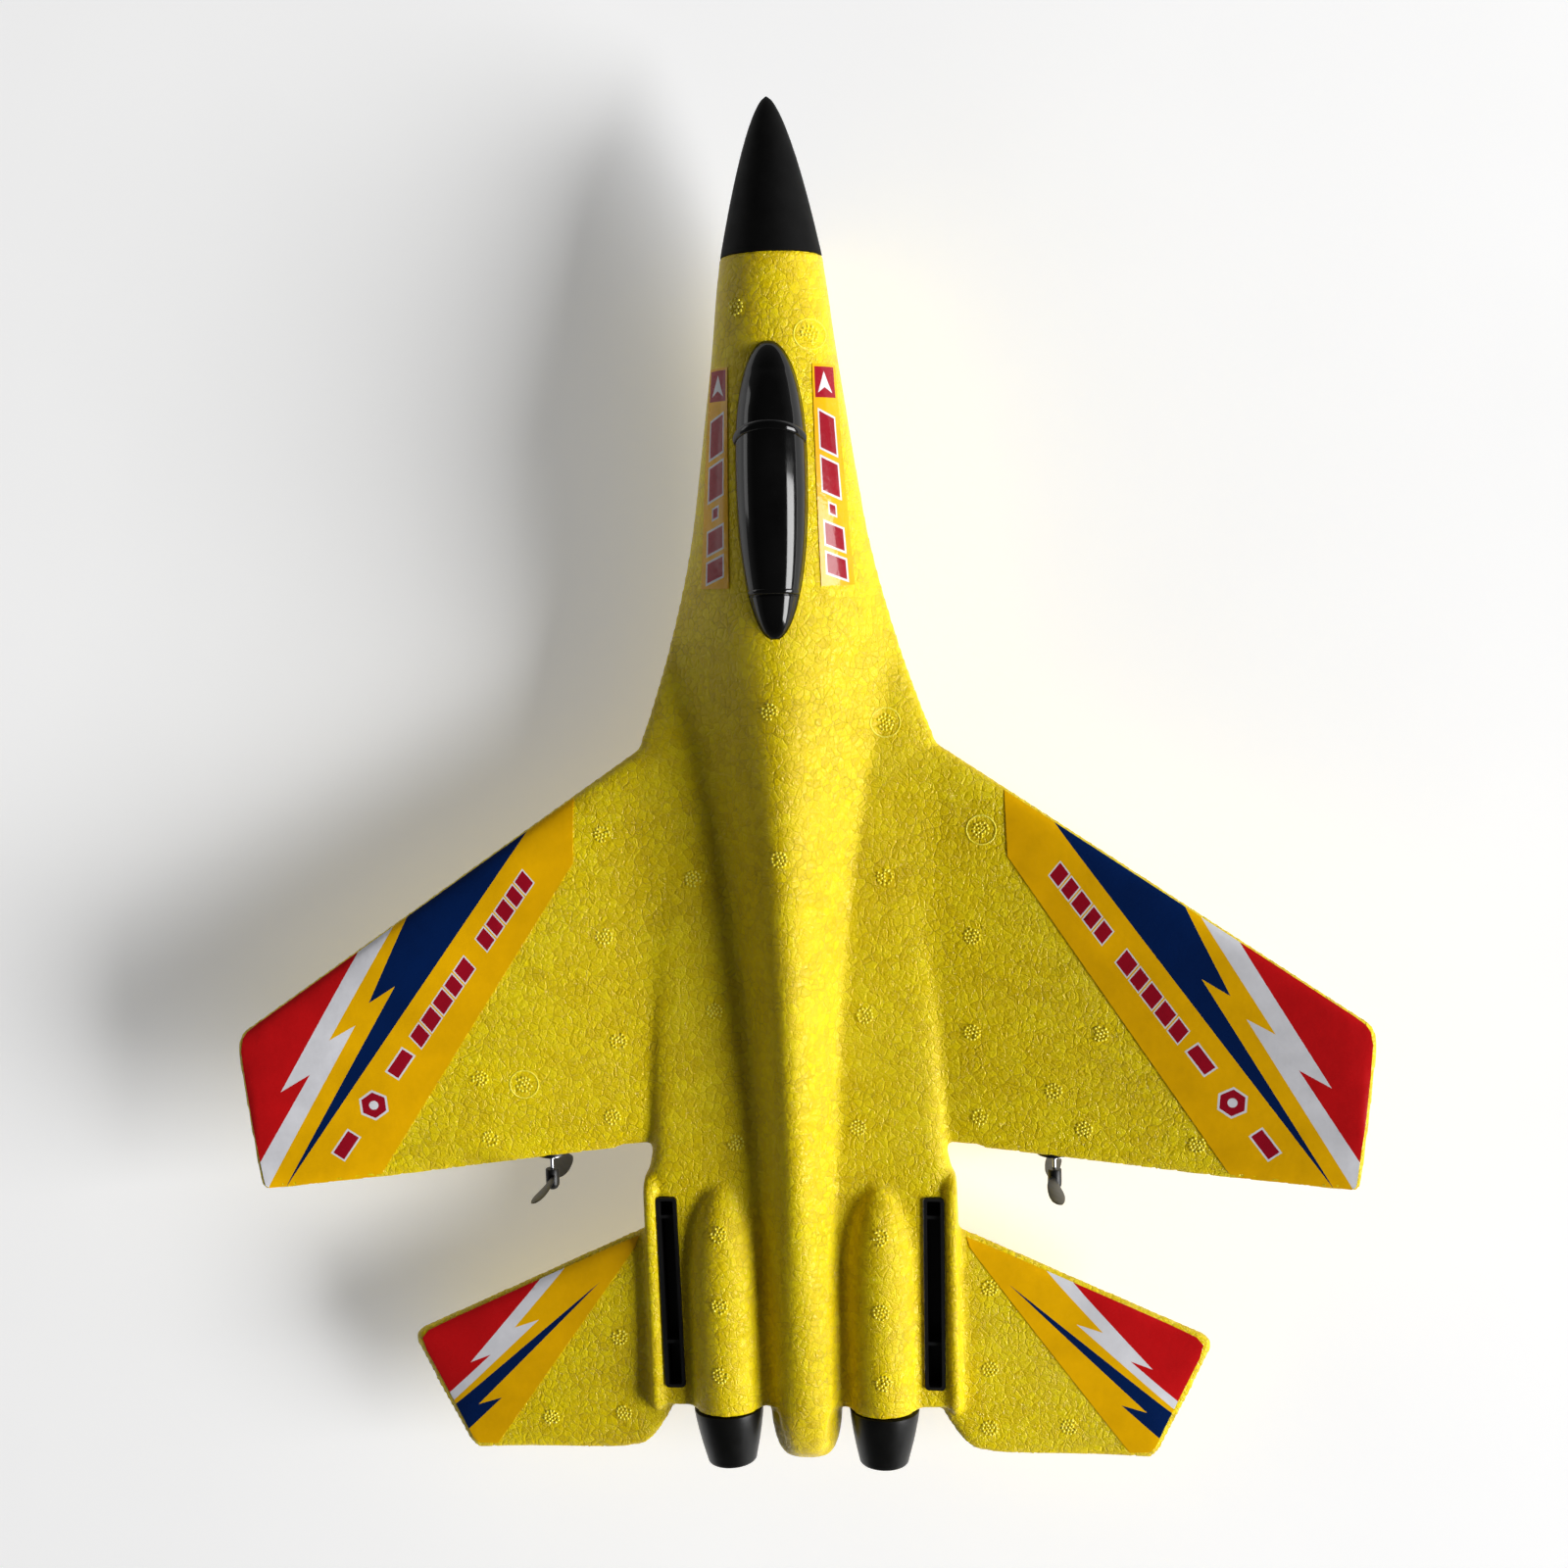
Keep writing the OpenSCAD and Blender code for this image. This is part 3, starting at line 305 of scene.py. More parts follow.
def rod(x, front, back, up, radius, sides=64, name="cutter"):
    return skin(name, lathe([(radius, front), (radius, back)], x, up, sides))


def oval_rings(table):
    """Squarish ovals from rows of (aft, half width, top, bottom)."""
    def squarish(v):
        return math.copysign(abs(v) ** 0.8, v)

    last = table[-1][0]
    rings = []
    for aft in stations((table[0][0], last, 40), (table[-3][0], last, 14)):
        half, high, low = curves(table, aft)
        angles = [2 * math.pi * j / 96 for j in range(96)]
        rings.append([place(half * squarish(-math.cos(a)), aft,
                            (high + low) / 2 + (high - low) / 2 * squarish(math.sin(a)))
                      for a in angles])
    return rings


def rounded(x0, x1, y0, y1, radius, steps):
    """Outline of a rectangle with rounded corners."""
    out = []
    for x, y, turn in ((x1 - radius, y1 - radius, 0), (x0 + radius, y1 - radius, 90),
                       (x0 + radius, y0 + radius, 180), (x1 - radius, y0 + radius, 270)):
        for k in range(steps + 1):
            angle = math.radians(turn + 90 * k / steps)
            out.append((x + radius * math.cos(angle), y + radius * math.sin(angle)))
    return out


def round_rect(aft, x0, x1, low, high, radius, rake=0.0):
    """Upright rounded rectangle; rake leans its top forward."""
    return [place(x, aft - rake * up, up) for x, up in rounded(x0, x1, low, high, radius, 8)]


def tube(name, points, radius, steps):
    """Round tube along a smooth path through (x, aft, up) points, steps to each span."""
    points = np.array(points, float)
    spans = np.linalg.norm(np.diff(points, axis=0), axis=1)
    run = np.concatenate([[0], np.cumsum(spans)])
    fine = np.linspace(0, run[-1], steps * (len(points) - 1) + 1)
    path = np.stack([curve(list(zip(run, points[:, k])), fine) for k in range(3)], 1)
    near_up = np.array([0.03, 0.05, 1.0])
    rings = []
    for centre, along in zip(path, np.gradient(path, axis=0)):
        along = along / np.linalg.norm(along)
        across = np.cross(along, near_up)
        across /= np.linalg.norm(across)
        over = np.cross(along, across)
        rings.append([place(*(centre + radius * (math.cos(a) * across + math.sin(a) * over)))
                      for a in np.linspace(0, 2 * math.pi, 14, endpoint=False)])
    return skin(name, rings)


def join(objs, name):
    bpy.ops.object.select_all(action="DESELECT")
    for ob in objs:
        ob.select_set(True)
    bpy.context.view_layer.objects.active = objs[0]
    bpy.ops.object.join()
    objs[0].name = name
    objs[0].data.name = name
    return objs[0]


def modified_mesh(ob, kind, **settings):
    """New mesh of the object as one modifier leaves it."""
    modifier = ob.modifiers.new(kind, kind)
    for key, value in settings.items():
        setattr(modifier, key, value)
    graph = bpy.context.evaluated_depsgraph_get()
    mesh = bpy.data.meshes.new_from_object(ob.evaluated_get(graph))
    ob.modifiers.clear()
    return mesh


def swap_mesh(ob, mesh):
    old = ob.data
    ob.data = mesh
    mesh.name = ob.name
    bpy.data.meshes.remove(old)


# ------------------------------------------------------------------ foam shell
# Tail stubs: (aft, half width, top, bottom)
STUB = [(340, 9.6, 5, -6), (356, 10, 6.4, -6), (361, 9.5, 6, -5.2), (365, 8.6, 5.4, -4.2),
        (368, 7.2, 4.6, -3), (369.6, 5.4, 3.6, -1.6), (370.2, 3.4, 2.4, -0.4)]
UPPER_STUB = [(346, 7, 11, 0), (355, 7.2, 11.3, 0), (360, 6.8, 10.2, 0), (364, 6, 8.6, 0),
              (367, 5, 6.8, 0), (369, 3.6, 4.6, 0)]
# Intake boxes below the body: (aft, inner x, outer x, bottom, top, corner radius, rake)
INTAKE = [(175, 11, 31.5, -WING_Z + 1.6, -1, 3, 0.45), (190, 10.8, 32, -WING_Z, -1, 3, 0),
          (262, 11.4, 32, -WING_Z, -1, 3.4, 0), (304, 12, 31.9, -WING_Z + 7, -1, 5, 0),
          (BODY_END, 12.6, 31.2, NACELLE_UP - 9.2, -1, 5.6, 0)]
# Edge rails: (aft, half width, top)
RAIL = [(287.6, 0.3, 2.6), (288.4, 1.0, 3.6), (290, 1.5, 4.9), (292.5, 1.6, 6), (352.5, 1.6, 6),
        (355, 1.5, 5.3), (356.4, 1.0, 4.2), (356.9, 0.4, 3)]
HUMP_START, HUMP_FULL, HUMP_RADIUS = 288.4, 322, 9.75


def hump_parts():
    """Rounded nacelle humps ahead of the nozzles."""
    grow = HUMP_START + 33.6 * np.linspace(0.02, 1, 60) ** 2
    level = np.linspace(HUMP_FULL, BODY_END + 0.5, 16)
    profile = []
    for aft in np.unique(np.concatenate([grow, level])):
        full = dome((HUMP_FULL - aft) / 33.7, 2.2) if aft < HUMP_FULL else 1
        profile.append((max(HUMP_RADIUS * full, 0.05), aft))
    return [skin("part", lathe(profile, x, NACELLE_UP, 80)) for x in (NACELLE_X, -NACELLE_X)]


def intake_parts():
    rings = []
    for near, far in zip(INTAKE[:-1], INTAKE[1:]):
        for t in np.linspace(0, 1, 10, endpoint=False):
            rings.append(round_rect(*[p + (q - p) * t for p, q in zip(near, far)]))
    rings.append(round_rect(*INTAKE[-1]))
    return both_sides(rings)


def smooth_surface(ob, rounds, shrink=0.5, swell=-0.53):
    """Taubin smoothing: each round shrinks and then swells, which keeps the volume."""
    mesh = ob.data
    count = len(mesh.vertices)
    verts = np.empty(count * 3)
    mesh.vertices.foreach_get("co", verts)
    verts = verts.reshape(count, 3)
    edges = np.empty(len(mesh.edges) * 2, np.int64)
    mesh.edges.foreach_get("vertices", edges)
    edges = edges.reshape(-1, 2)
    links = np.bincount(edges.ravel(), minlength=count).astype(float)[:, None]
    links[links == 0] = 1
    for _ in range(rounds):
        for factor in (shrink, swell):
            total = np.zeros_like(verts)
            for k in range(3):
                total[:, k] = (np.bincount(edges[:, 0], verts[edges[:, 1], k], count)
                               + np.bincount(edges[:, 1], verts[edges[:, 0], k], count))
            verts = verts + factor * (total / links - verts)
    mesh.vertices.foreach_set("co", verts.ravel())
    mesh.update()


def straighten(ob, trailing, mid, x0, x1):
    """Pull a trailing edge back onto its line, easing the move out over the last 3 mm."""
    mesh = ob.data
    verts = np.empty(len(mesh.vertices) * 3)
    mesh.vertices.foreach_get("co", verts)
    verts = verts.reshape(-1, 3)
    for side, _ in SIDES:
        x = side * verts[:, 0] / MM
        past = verts[:, 1] / MM + LENGTH / 2 - line(trailing, x)
        height = verts[:, 2] / MM - WING_Z - np.vectorize(mid, otypes=[float])(x)
        near = (x > x0) & (x < x1) & (np.abs(height) < 2.6) & (past > -3) & (past < 1.5)
        i = np.nonzero(near)[0]
        i = i[np.argsort(x[i])]
        x, past = x[i], past[i]
        # The rim is the farthest-aft point within 0.7 mm to either side.
        spans = zip(np.searchsorted(x, x - 0.7), np.searchsorted(x, x + 0.7, "right"))
        rim = past >= np.array([past[a:b].max() for a, b in spans]) - 1e-9
        gap = np.interp(x, x[rim], past[rim]) + 0.04
        ends = np.clip((x - x0) / 2, 0, 1) * np.clip((x1 - x) / 2, 0, 1)
        verts[i, 1] -= gap * np.clip((past + 3) / 2.2, 0, 1) * ends * MM
    mesh.vertices.foreach_set("co", verts.ravel())
    mesh.update()


def foam_shell():
    parts = [skin("body", [body_ring(aft) for aft in np.linspace(NOSE_END, BODY_END, 300)])]
    parts += both_sides(panel_rings(stations((30, 146, 60), (146, 153.3, 20)), WING))
    parts += both_sides(panel_rings(stations((30, 50, 24), (50, 95, 26), (95, 112, 24)), TAIL))
    parts += hump_parts()
    parts += [skin("part", oval_rings(table)) for table in (STUB, UPPER_STUB)]
    parts += intake_parts()
    parts += both_sides([round_rect(aft, RAIL_X - half, RAIL_X + half, -2, top,
                                    min(half * 0.9, 1.3)) for aft, half, top in RAIL])
    ob = join(parts, "foam")
    voxel = 0.95 * MM
    swap_mesh(ob, modified_mesh(ob, "REMESH", mode="VOXEL", voxel_size=voxel,
                                use_smooth_shade=True))
    smooth_surface(ob, rounds=22)
    straighten(ob, WING_TE, wing_mid, 49, 146.5)
    straighten(ob, TAIL_TE, tail_mid, 50, 93)
    return ob


# ------------------------------------------------------------------ canopy outline
CANOPY_H, CANOPY_SUNK = 12.0, 4.9
CANOPY_MID = 98.0                       # widest station
CANOPY_SHELL = 0.9                      # wall thickness
ARCH = 72                               # spans across the canopy
# (aft, forward lean of the crown)
CANOPY_RAKE = [(64, 0), (72, 0.4), (84, 4), (94, 4), (120, 1), (141, 0)]
# Close stations round the lip and groove near the back
LIP_STATIONS = [127.84, 127.9, 128.0, 128.15, 128.3, 128.45, 128.6, 128.75, 128.9, 129.0, 129.06,
                129.12, 129.2, 129.3, 129.4, 129.5, 129.6]


def canopy_fullness(aft):
    if aft < CANOPY_MID:
        share, power = (CANOPY_MID - aft) / 34, 2.5
    else:
        share, power = (aft - CANOPY_MID) / 42.4, 2.2
    return max(0.004, 1 - min(1, share) ** power)


def canopy_half(aft):
    return 9.3 * math.sqrt(canopy_fullness(aft))


def seat_up(aft):
    return 11.3 + (aft - 64) * 0.055


def canopy_stations(front, back):
    return ([CANOPY_MID - 33.9 * math.sin(math.radians(a)) for a in np.linspace(90, 0, front)]
            + [CANOPY_MID + 42.2 * math.sin(math.radians(a)) for a in np.linspace(3, 90, back)])


def seat_ring(lift, gap=0.12):
    """Canopy outline, widened by the gap and raised by lift."""
    def row(side, run):
        return [place(side * (canopy_half(aft) + gap), aft + gap * (aft - CANOPY_MID) / 30,
                      seat_up(aft) + lift) for aft in run]

    run = canopy_stations(40, 44)
    return row(-1, run) + row(1, run[::-1])


# ------------------------------------------------------------------ cutting the foam
def slab(x, half, front, back, low, high):
    verts = [place(i, j, k) for i in (x - half, x + half) for j in (front, back)
             for k in (low, high)]
    faces = [(0, 1, 3, 2), (4, 6, 7, 5), (0, 4, 5, 1), (2, 3, 7, 6), (0, 2, 6, 4), (1, 5, 7, 3)]
    return outward(make("cutter", verts, faces, smooth=False))


def socket_cutter(side):
    """Upright slot for a fin socket: a rounded bar turned slightly about the vertical."""
    half_x, half_y, turn = (5.5 + 0.3) / 2, (54.7 + 0.3) / 2, math.radians(0.75)
    rings = []
    for up in (-9.15, 12):
        rings.append([place(SOCKET_X + x * math.cos(turn) - y * math.sin(turn),
                            SOCKET_AFT + x * math.sin(turn) + y * math.cos(turn), up)
                      for x, y in rounded(-half_x, half_x, -half_y, half_y, 1.1, 5)])
    return skin("cutter", rings, side)


def side_cutters(side):
    """Nozzle bore, fin socket, pod bore and recesses, wire groove and intake mouth."""
    pod = side * POD_X
    mouth = [round_rect(160, 13.4, 29.4, -WING_Z + 3.4, -6.4, 2, 0.45),
             round_rect(183, 14, 29, -WING_Z + 4, -7, 2, 0.45)]
    return [skin("cutter", nozzle_rings([(7.2, -7.4), (7.2, 6)], 64), side),
            socket_cutter(side),
            rod(pod, 259.4, 300, POD_UP, 4.85),
            slab(pod, 8.15, 262.85, 279.15, POD_UP - 12, POD_UP + 2.45),
            slab(pod, 4.85, 259.4, 300, POD_UP - 12, POD_UP),
            tube("cutter", [(side * x, aft, up) for x, aft, up in WIRE], 1.75, steps=6),
            skin("cutter", mouth, side)]


def cut(ob, tool):
    mesh = modified_mesh(ob, "BOOLEAN", operation="DIFFERENCE", solver="MANIFOLD", object=tool)
    # A failed cut comes back nearly empty; the foam is then left as it was.
    if len(mesh.polygons) > 1000:
        swap_mesh(ob, mesh)
    tool_mesh = tool.data
    bpy.data.objects.remove(tool)
    bpy.data.meshes.remove(tool_mesh)


foam = foam_shell()
# Nose collar recess, canopy seat and belly bay, then the cuts on each side
cutters = [rod(0, 39, 49.2, 0, 9.15), skin("cutter", [seat_ring(-0.05), seat_ring(20)]),
           slab(0, 12.15, 83.85, 164.15, -30, 1.65)]
for side, _ in SIDES:
    cutters += side_cutters(side)
for cutter in cutters:
    cut(foam, cutter)
foam.name = "airframe_skin"
foam.data.name = "airframe_skin"
foam.data.shade_smooth()
crease(foam, 38)
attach(foam, "airframe")
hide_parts("foam_airframe")
foam_tree = BVHTree.FromPolygons([v.co.copy() for v in foam.data.vertices],
                                 [tuple(p.vertices) for p in foam.data.polygons])


def foam_point(x, aft):
    """Point on the foam's upper surface and its normal, or None off the foam."""
    above = Vector(place(x, aft, 60.0)) * MM
    hit, normal, _, _ = foam_tree.ray_cast(above, Vector((0, 0, -1)))
    if hit is None:
        return None
    return Vector(place(x, aft, hit.z / MM - WING_Z)), normal


# ------------------------------------------------------------------ shader helpers
def srgb(red, green, blue):
    """Linear colour from 0-255 sRGB values."""
    return tuple(c / 255 / 12.92 if c <= 10.3 else ((c / 255 + 0.055) / 1.055) ** 2.4
                 for c in (red, green, blue)) + (1,)


def grey(value):
    return (value, value, value, 1)


def feed(socket, value):
    """Link the value if it is a socket, otherwise set it."""
    if isinstance(value, bpy.types.NodeSocket):
        socket.id_data.links.new(value, socket)
    else:
        socket.default_value = value


def add_node(tree, kind, **settings):
    """New node; settings name its inputs (with _ for spaces) or its properties."""
    made = tree.nodes.new(kind)
    for key, value in settings.items():
        label = key.replace("_", " ")
        if label in made.inputs:
            feed(made.inputs[label], value)
        else:
            setattr(made, key, value)
    return made


def add_ramp(tree, source, stops):
    made = add_node(tree, "ShaderNodeValToRGB", Fac=source)
    elements = made.color_ramp.elements
    while len(elements) < len(stops):
        elements.new(0.5)
    for element, (position, color) in zip(elements, stops):
        element.position = position
        element.color = color
    return made.outputs["Color"]


def add_mix(tree, factor, first, second):
    """Colour mix; sockets 0, 6 and 7 in and 2 out are the ones used for colours."""
    made = add_node(tree, "ShaderNodeMix", data_type="RGBA")
    for index, value in ((0, factor), (6, first), (7, second)):
        feed(made.inputs[index], value)
    return made.outputs[2]


class Shader:
    """A material with a Principled surface and textures in object coordinates."""

    def __init__(self, name):
        self.material = bpy.data.materials.new(name)
        self.material.use_nodes = True
        self.tree = self.material.node_tree
        self.surface = next(n for n in self.tree.nodes if n.type == "BSDF_PRINCIPLED")
        self.coords = self.node("ShaderNodeTexCoord").outputs["Object"]

    def node(self, kind, **settings):
        return add_node(self.tree, kind, **settings)

    def noise(self, scale, detail=3, roughness=0.55):
        return self.node("ShaderNodeTexNoise", Scale=scale, Detail=detail, Roughness=roughness,
                         Vector=self.coords).outputs["Fac"]

    def cells(self, feature, scale, vector=None):
        return self.node("ShaderNodeTexVoronoi", feature=feature, Scale=scale,
                         Vector=vector or self.coords)

    def ramp(self, source, stops):
        return add_ramp(self.tree, source, stops)

    def math(self, operation, first, second=0.0, *rest):
        made = self.node("ShaderNodeMath", operation=operation)
        for socket, value in zip(made.inputs, (first, second) + rest):
            feed(socket, value)
        return made.outputs[0]

    def bump(self, height, strength, distance):
        """Bump the surface by a distance in mm; returns the normal."""
        made = self.node("ShaderNodeBump", Strength=strength, Distance=distance * MM,
                         Height=height)
        self.set(Normal=made.outputs["Normal"])
        return made.outputs["Normal"]

    def set(self, **values):
        for key, value in values.items():
            feed(self.surface.inputs[key.replace("_", " ")], value)

    def roughness(self, source, span, low):
        self.set(Roughness=self.math("MULTIPLY_ADD", source, span, low))


# ------------------------------------------------------------------ materials
BEAD_SCALE = 440.0                      # foam beads about 2 mm across


def plastic(name, color, roughness, grain=0.02, coat=0.0, scale=900, spread=0.25, metal=0.0,
            specular=0.5):
    """Moulded or metal finish with a faint mottle, uneven gloss and a fine grain (mm)."""
    mat = Shader(name)
    color = srgb(*color)[:3]
    dark = tuple(c * (1 - spread) for c in color) + (1,)
    light = tuple(min(1, c * (1 + spread) + 0.002) for c in color) + (1,)
    mottle = mat.noise(scale=scale * 0.12, detail=4, roughness=0.6)
    mat.set(Base_Color=mat.ramp(mottle, [(0.3, dark), (0.7, light)]), Metallic=metal,
            Coat_Weight=coat, Coat_Roughness=0.08, Specular_IOR_Level=specular)
    mat.roughness(mat.noise(scale=scale * 0.35), span=0.16, low=max(roughness - 0.08, 0.02))
    mat.bump(mat.noise(scale=scale, detail=2), strength=0.35, distance=grain)
    return mat.material


def foam_material():
    """Painted bead foam: flattened beads with fine dark seams, wrinkles and a thin gloss."""
    mat = Shader("yellow_bead_foam")
    warp = mat.node("ShaderNodeTexNoise", Scale=420.0, Detail=3.0, Vector=mat.coords)
    shift = mat.node("ShaderNodeVectorMath", operation="MULTIPLY_ADD")
    for socket, value in zip(shift.inputs, (warp.outputs["Color"], (0.0012,) * 3, mat.coords)):
        feed(socket, value)
    bead = mat.cells("F1", BEAD_SCALE, shift.outputs[0])
    edge = mat.cells("DISTANCE_TO_EDGE", BEAD_SCALE, shift.outputs[0]).outputs["Distance"]
    per_bead = mat.node("ShaderNodeSeparateColor", Color=bead.outputs["Color"]).outputs[0]
    broad = mat.noise(scale=30, detail=4, roughness=0.65)
    fine = mat.noise(scale=1100, detail=3, roughness=0.65)
    # Paint mottle: shares of bead-to-bead, broad and fine variation
    mottle = mat.math("ADD", mat.math("MULTIPLY", per_bead, 0.25),
                      mat.math("MULTIPLY", broad, 0.55))
    mottle = mat.math("ADD", mottle, mat.math("MULTIPLY", fine, 0.32))
    yellow = mat.ramp(mottle, [(0.3, srgb(214, 182, 0)), (0.5, srgb(234, 204, 0)),
                               (0.68, srgb(243, 217, 2)), (0.9, srgb(247, 228, 8))])
    # Seams, dark only in patches
    seam = mat.ramp(edge, [(0.0, grey(1)), (0.03, grey(0.45)), (0.075, grey(0))])
    patches = mat.ramp(mat.noise(scale=90), [(0.4, grey(0.05)), (0.66, grey(1))])
    amount = mat.math("MULTIPLY", mat.math("MULTIPLY", seam, patches), 0.5)
    mat.set(Base_Color=add_mix(mat.tree, amount, yellow, srgb(150, 116, 0)), Coat_Weight=0.42,
            Coat_Roughness=0.09, Specular_IOR_Level=0.1)
    mat.roughness(per_bead, span=0.14, low=0.34)
    # Relief: domed beads plus wrinkles
    domes = mat.ramp(edge, [(0.0, grey(0)), (0.1, grey(0.7)), (0.35, grey(1))])
    wrinkle = mat.node("ShaderNodeTexNoise", Scale=700.0, Detail=3.0, Distortion=1.6,
                       Vector=mat.coords).outputs["Fac"]
    wrinkle = mat.math("ABSOLUTE", mat.math("SUBTRACT", wrinkle, 0.5))
    relief = mat.math("ADD", mat.math("MULTIPLY", domes, 0.65),
                      mat.math("MULTIPLY", wrinkle, 3.2))
    mat.set(Coat_Normal=mat.bump(relief, strength=0.9, distance=0.24))
    return mat.material


def film_material(name, *color):
    """Glossy printed film with slightly uneven ink, following the beads below a little."""
    mat = Shader(name)
    color = srgb(*color)[:3]
    dark = tuple(c * 0.88 for c in color) + (1,)
    light = tuple(min(1, c * 1.08) for c in color) + (1,)
    ink = mat.noise(scale=60, detail=4, roughness=0.6)
    mat.set(Base_Color=mat.ramp(ink, [(0.35, dark), (0.7, light)]), Coat_Weight=0.32,
            Coat_Roughness=0.07, Specular_IOR_Level=0.12)
    mat.roughness(mat.noise(scale=300, detail=2), span=0.14, low=0.2)
    edge = mat.cells("DISTANCE_TO_EDGE", BEAD_SCALE).outputs["Distance"]
    relief = mat.math("ADD", mat.math("MULTIPLY", edge, 0.8),
                      mat.math("MULTIPLY", mat.noise(scale=130, detail=2), 1.6))
    mat.set(Coat_Normal=mat.bump(relief, strength=0.25, distance=0.16))
    return mat.material


def lamp_material():
    mat = Shader("red_lamp_resin")
    red = mat.ramp(mat.noise(scale=700, detail=2),
                   [(0.3, srgb(150, 10, 10)), (0.7, srgb(214, 26, 20))])
    mat.set(Base_Color=red, Coat_Weight=0.8)
    mat.roughness(mat.noise(scale=400, detail=2), span=0.1, low=0.1)
    return mat.material


def board_material():
    """Green solder mask with copper tracks showing through as a lighter weave."""
    mat = Shader("green_circuit_board")
    weave = mat.node("ShaderNodeTexBrick", Scale=420.0, Color1=srgb(14, 84, 42),
                     Color2=srgb(10, 70, 36), Mortar=srgb(34, 124, 66), Vector=mat.coords)
    mat.set(Base_Color=weave.outputs["Color"], Coat_Weight=0.3)
    mat.roughness(mat.noise(scale=900, detail=2), span=0.15, low=0.28)
    mat.bump(weave.outputs["Fac"], strength=0.3, distance=0.02)
    return mat.material


def sponge_material():
    mat = Shader("grey_sponge")
    pores = mat.cells("F1", 1500.0).outputs["Distance"]
    mat.set(Base_Color=mat.ramp(pores, [(0.1, srgb(30, 30, 33)), (0.7, srgb(78, 78, 84))]),
            Roughness=0.95)
    mat.bump(pores, strength=0.9, distance=0.3)
    return mat.material


def vent_material():
    mat = Shader("vent_bead_painted_highlight")
    # The vent beads' lighter yellow is a painted highlight: it stands in for the glints on the
    # raised beads.
    yellow = mat.ramp(mat.noise(scale=900),
                      [(0.3, srgb(250, 231, 22)), (0.7, srgb(255, 244, 84))])
    mat.set(Base_Color=yellow, Coat_Weight=0.6, Coat_Roughness=0.06)
    mat.roughness(mat.noise(scale=600, detail=2), span=0.2, low=0.2)
    return mat.material


MATERIALS = {
    "foam": foam_material(),
    "orange": film_material("film_amber", 238, 179, 0),
    "blue": film_material("film_blue", 2, 30, 80),
    "red": film_material("film_red", 198, 18, 22),
    "white": film_material("film_white", 222, 222, 227),
    "crimson": film_material("film_crimson", 156, 14, 34),
    "nose": plastic("matte_black_nose", (5, 5, 5), roughness=0.6, grain=0.03, specular=0.1),
    "black": plastic("satin_black_plastic", (11, 11, 12), roughness=0.42, specular=0.4),
    "nozzle": plastic("nozzle_black_plastic", (8, 8, 7), roughness=0.34, specular=0.28),
    "canopy": plastic("gloss_black_canopy", (4, 4, 4), roughness=0.12, grain=0.005, coat=0.42,
                      scale=500, specular=0.2),
    "steel": plastic("plated_steel", (176, 177, 182), roughness=0.28, grain=0.006, metal=1.0,
                     spread=0.12),
    "can": plastic("motor_can_steel", (186, 187, 190), roughness=0.3, grain=0.004, metal=1.0,
                   spread=0.1),
    "tin": plastic("tinned_metal", (168, 171, 176), roughness=0.34, grain=0.006, metal=1.0,
                   spread=0.12),
    "brass": plastic("plated_brass", (206, 168, 84), roughness=0.26, grain=0.004, metal=1.0,
                     spread=0.1),
    "foil": plastic("battery_foil", (176, 180, 188), roughness=0.38, grain=0.05, metal=0.5,
                    scale=260, spread=0.12),
    "ivory": plastic("ivory_plastic", (224, 220, 204), roughness=0.42, grain=0.01, spread=0.06),
    "chip": plastic("chip_epoxy", (24, 24, 26), roughness=0.55, grain=0.01),
    "red_wire": plastic("red_wire_sheath", (176, 22, 20), roughness=0.4, grain=0.01),
    "black_wire": plastic("black_wire_sheath", (18, 18, 18), roughness=0.42, grain=0.01),
    "blue_wire": plastic("blue_wire_sheath", (20, 40, 130), roughness=0.4, grain=0.01),
    "lamp": lamp_material(),
    "board": board_material(),
    "sponge": sponge_material(),
}


def paint(ob, material):
    ob.data.materials.clear()
    ob.data.materials.append(material)


def piece(ob, body, finish, *nodes):
    """Paint an object, attach it to a body and name the CAD nodes it replaces."""
    paint(ob, MATERIALS[finish])
    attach(ob, body)
    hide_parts(*nodes)


paint(foam, MATERIALS["foam"])

# ------------------------------------------------------------------ nose, canopy, nozzles
# (radius, aft): the collar that enters the foam, then the start of the inner wall
NOSE_COLLAR = [(13.0, 41.25), (9.0, 41.25), (9.0, 48.5), (7.6, 48.5), (7.6, 41), (11.8, 39.6)]
# (radius, aft of the nozzle's origin): collar, flange, outer wall, lip and inner wall
NOZZLE = [
    (0.02, -1.2), (5.6, -1.2), (5.6, -7.2), (7, -7.2), (7, 0), (9.55, 0), (9.72, 0.15),
    (9.7, 0.6), (9.55, 2), (9.3, 3.7), (8.9, 6), (8.45, 8.4), (7.95, 10.7), (7.45, 12.8),
    (7.0, 14.7), (6.86, 15.3), (6.6, 15.62), (6.25, 15.6), (6.05, 15.2), (6.6, 12), (7.4, 8),
    (8.1, 3.4), (8.1, 1.4), (0.02, 1.4)]


def nose_radius(aft):
    return NOSE_RADIUS * (aft / NOSE_END) ** 0.62


def nose_cone():
    run = NOSE_END * np.linspace(0.035, 1, 90)[:-1] ** 2.1
    outer = [(nose_radius(aft) * min(1, 0.74 + 0.26 * min(aft, 1)), aft) for aft in run]
    inner = [(nose_radius(aft) - 1.5, aft) for aft in (35, 29, 23, 17, 12, 8)]
    profile = ([(0.02, 0.0)] + outer + [(NOSE_RADIUS - 0.04, NOSE_END - 0.1)] + NOSE_COLLAR
               + inner + [(0.02, 6)])
    ob = skin("nose_cone_shell", lathe(profile, 0, 0, 128))
    crease(ob, 35)
    return ob


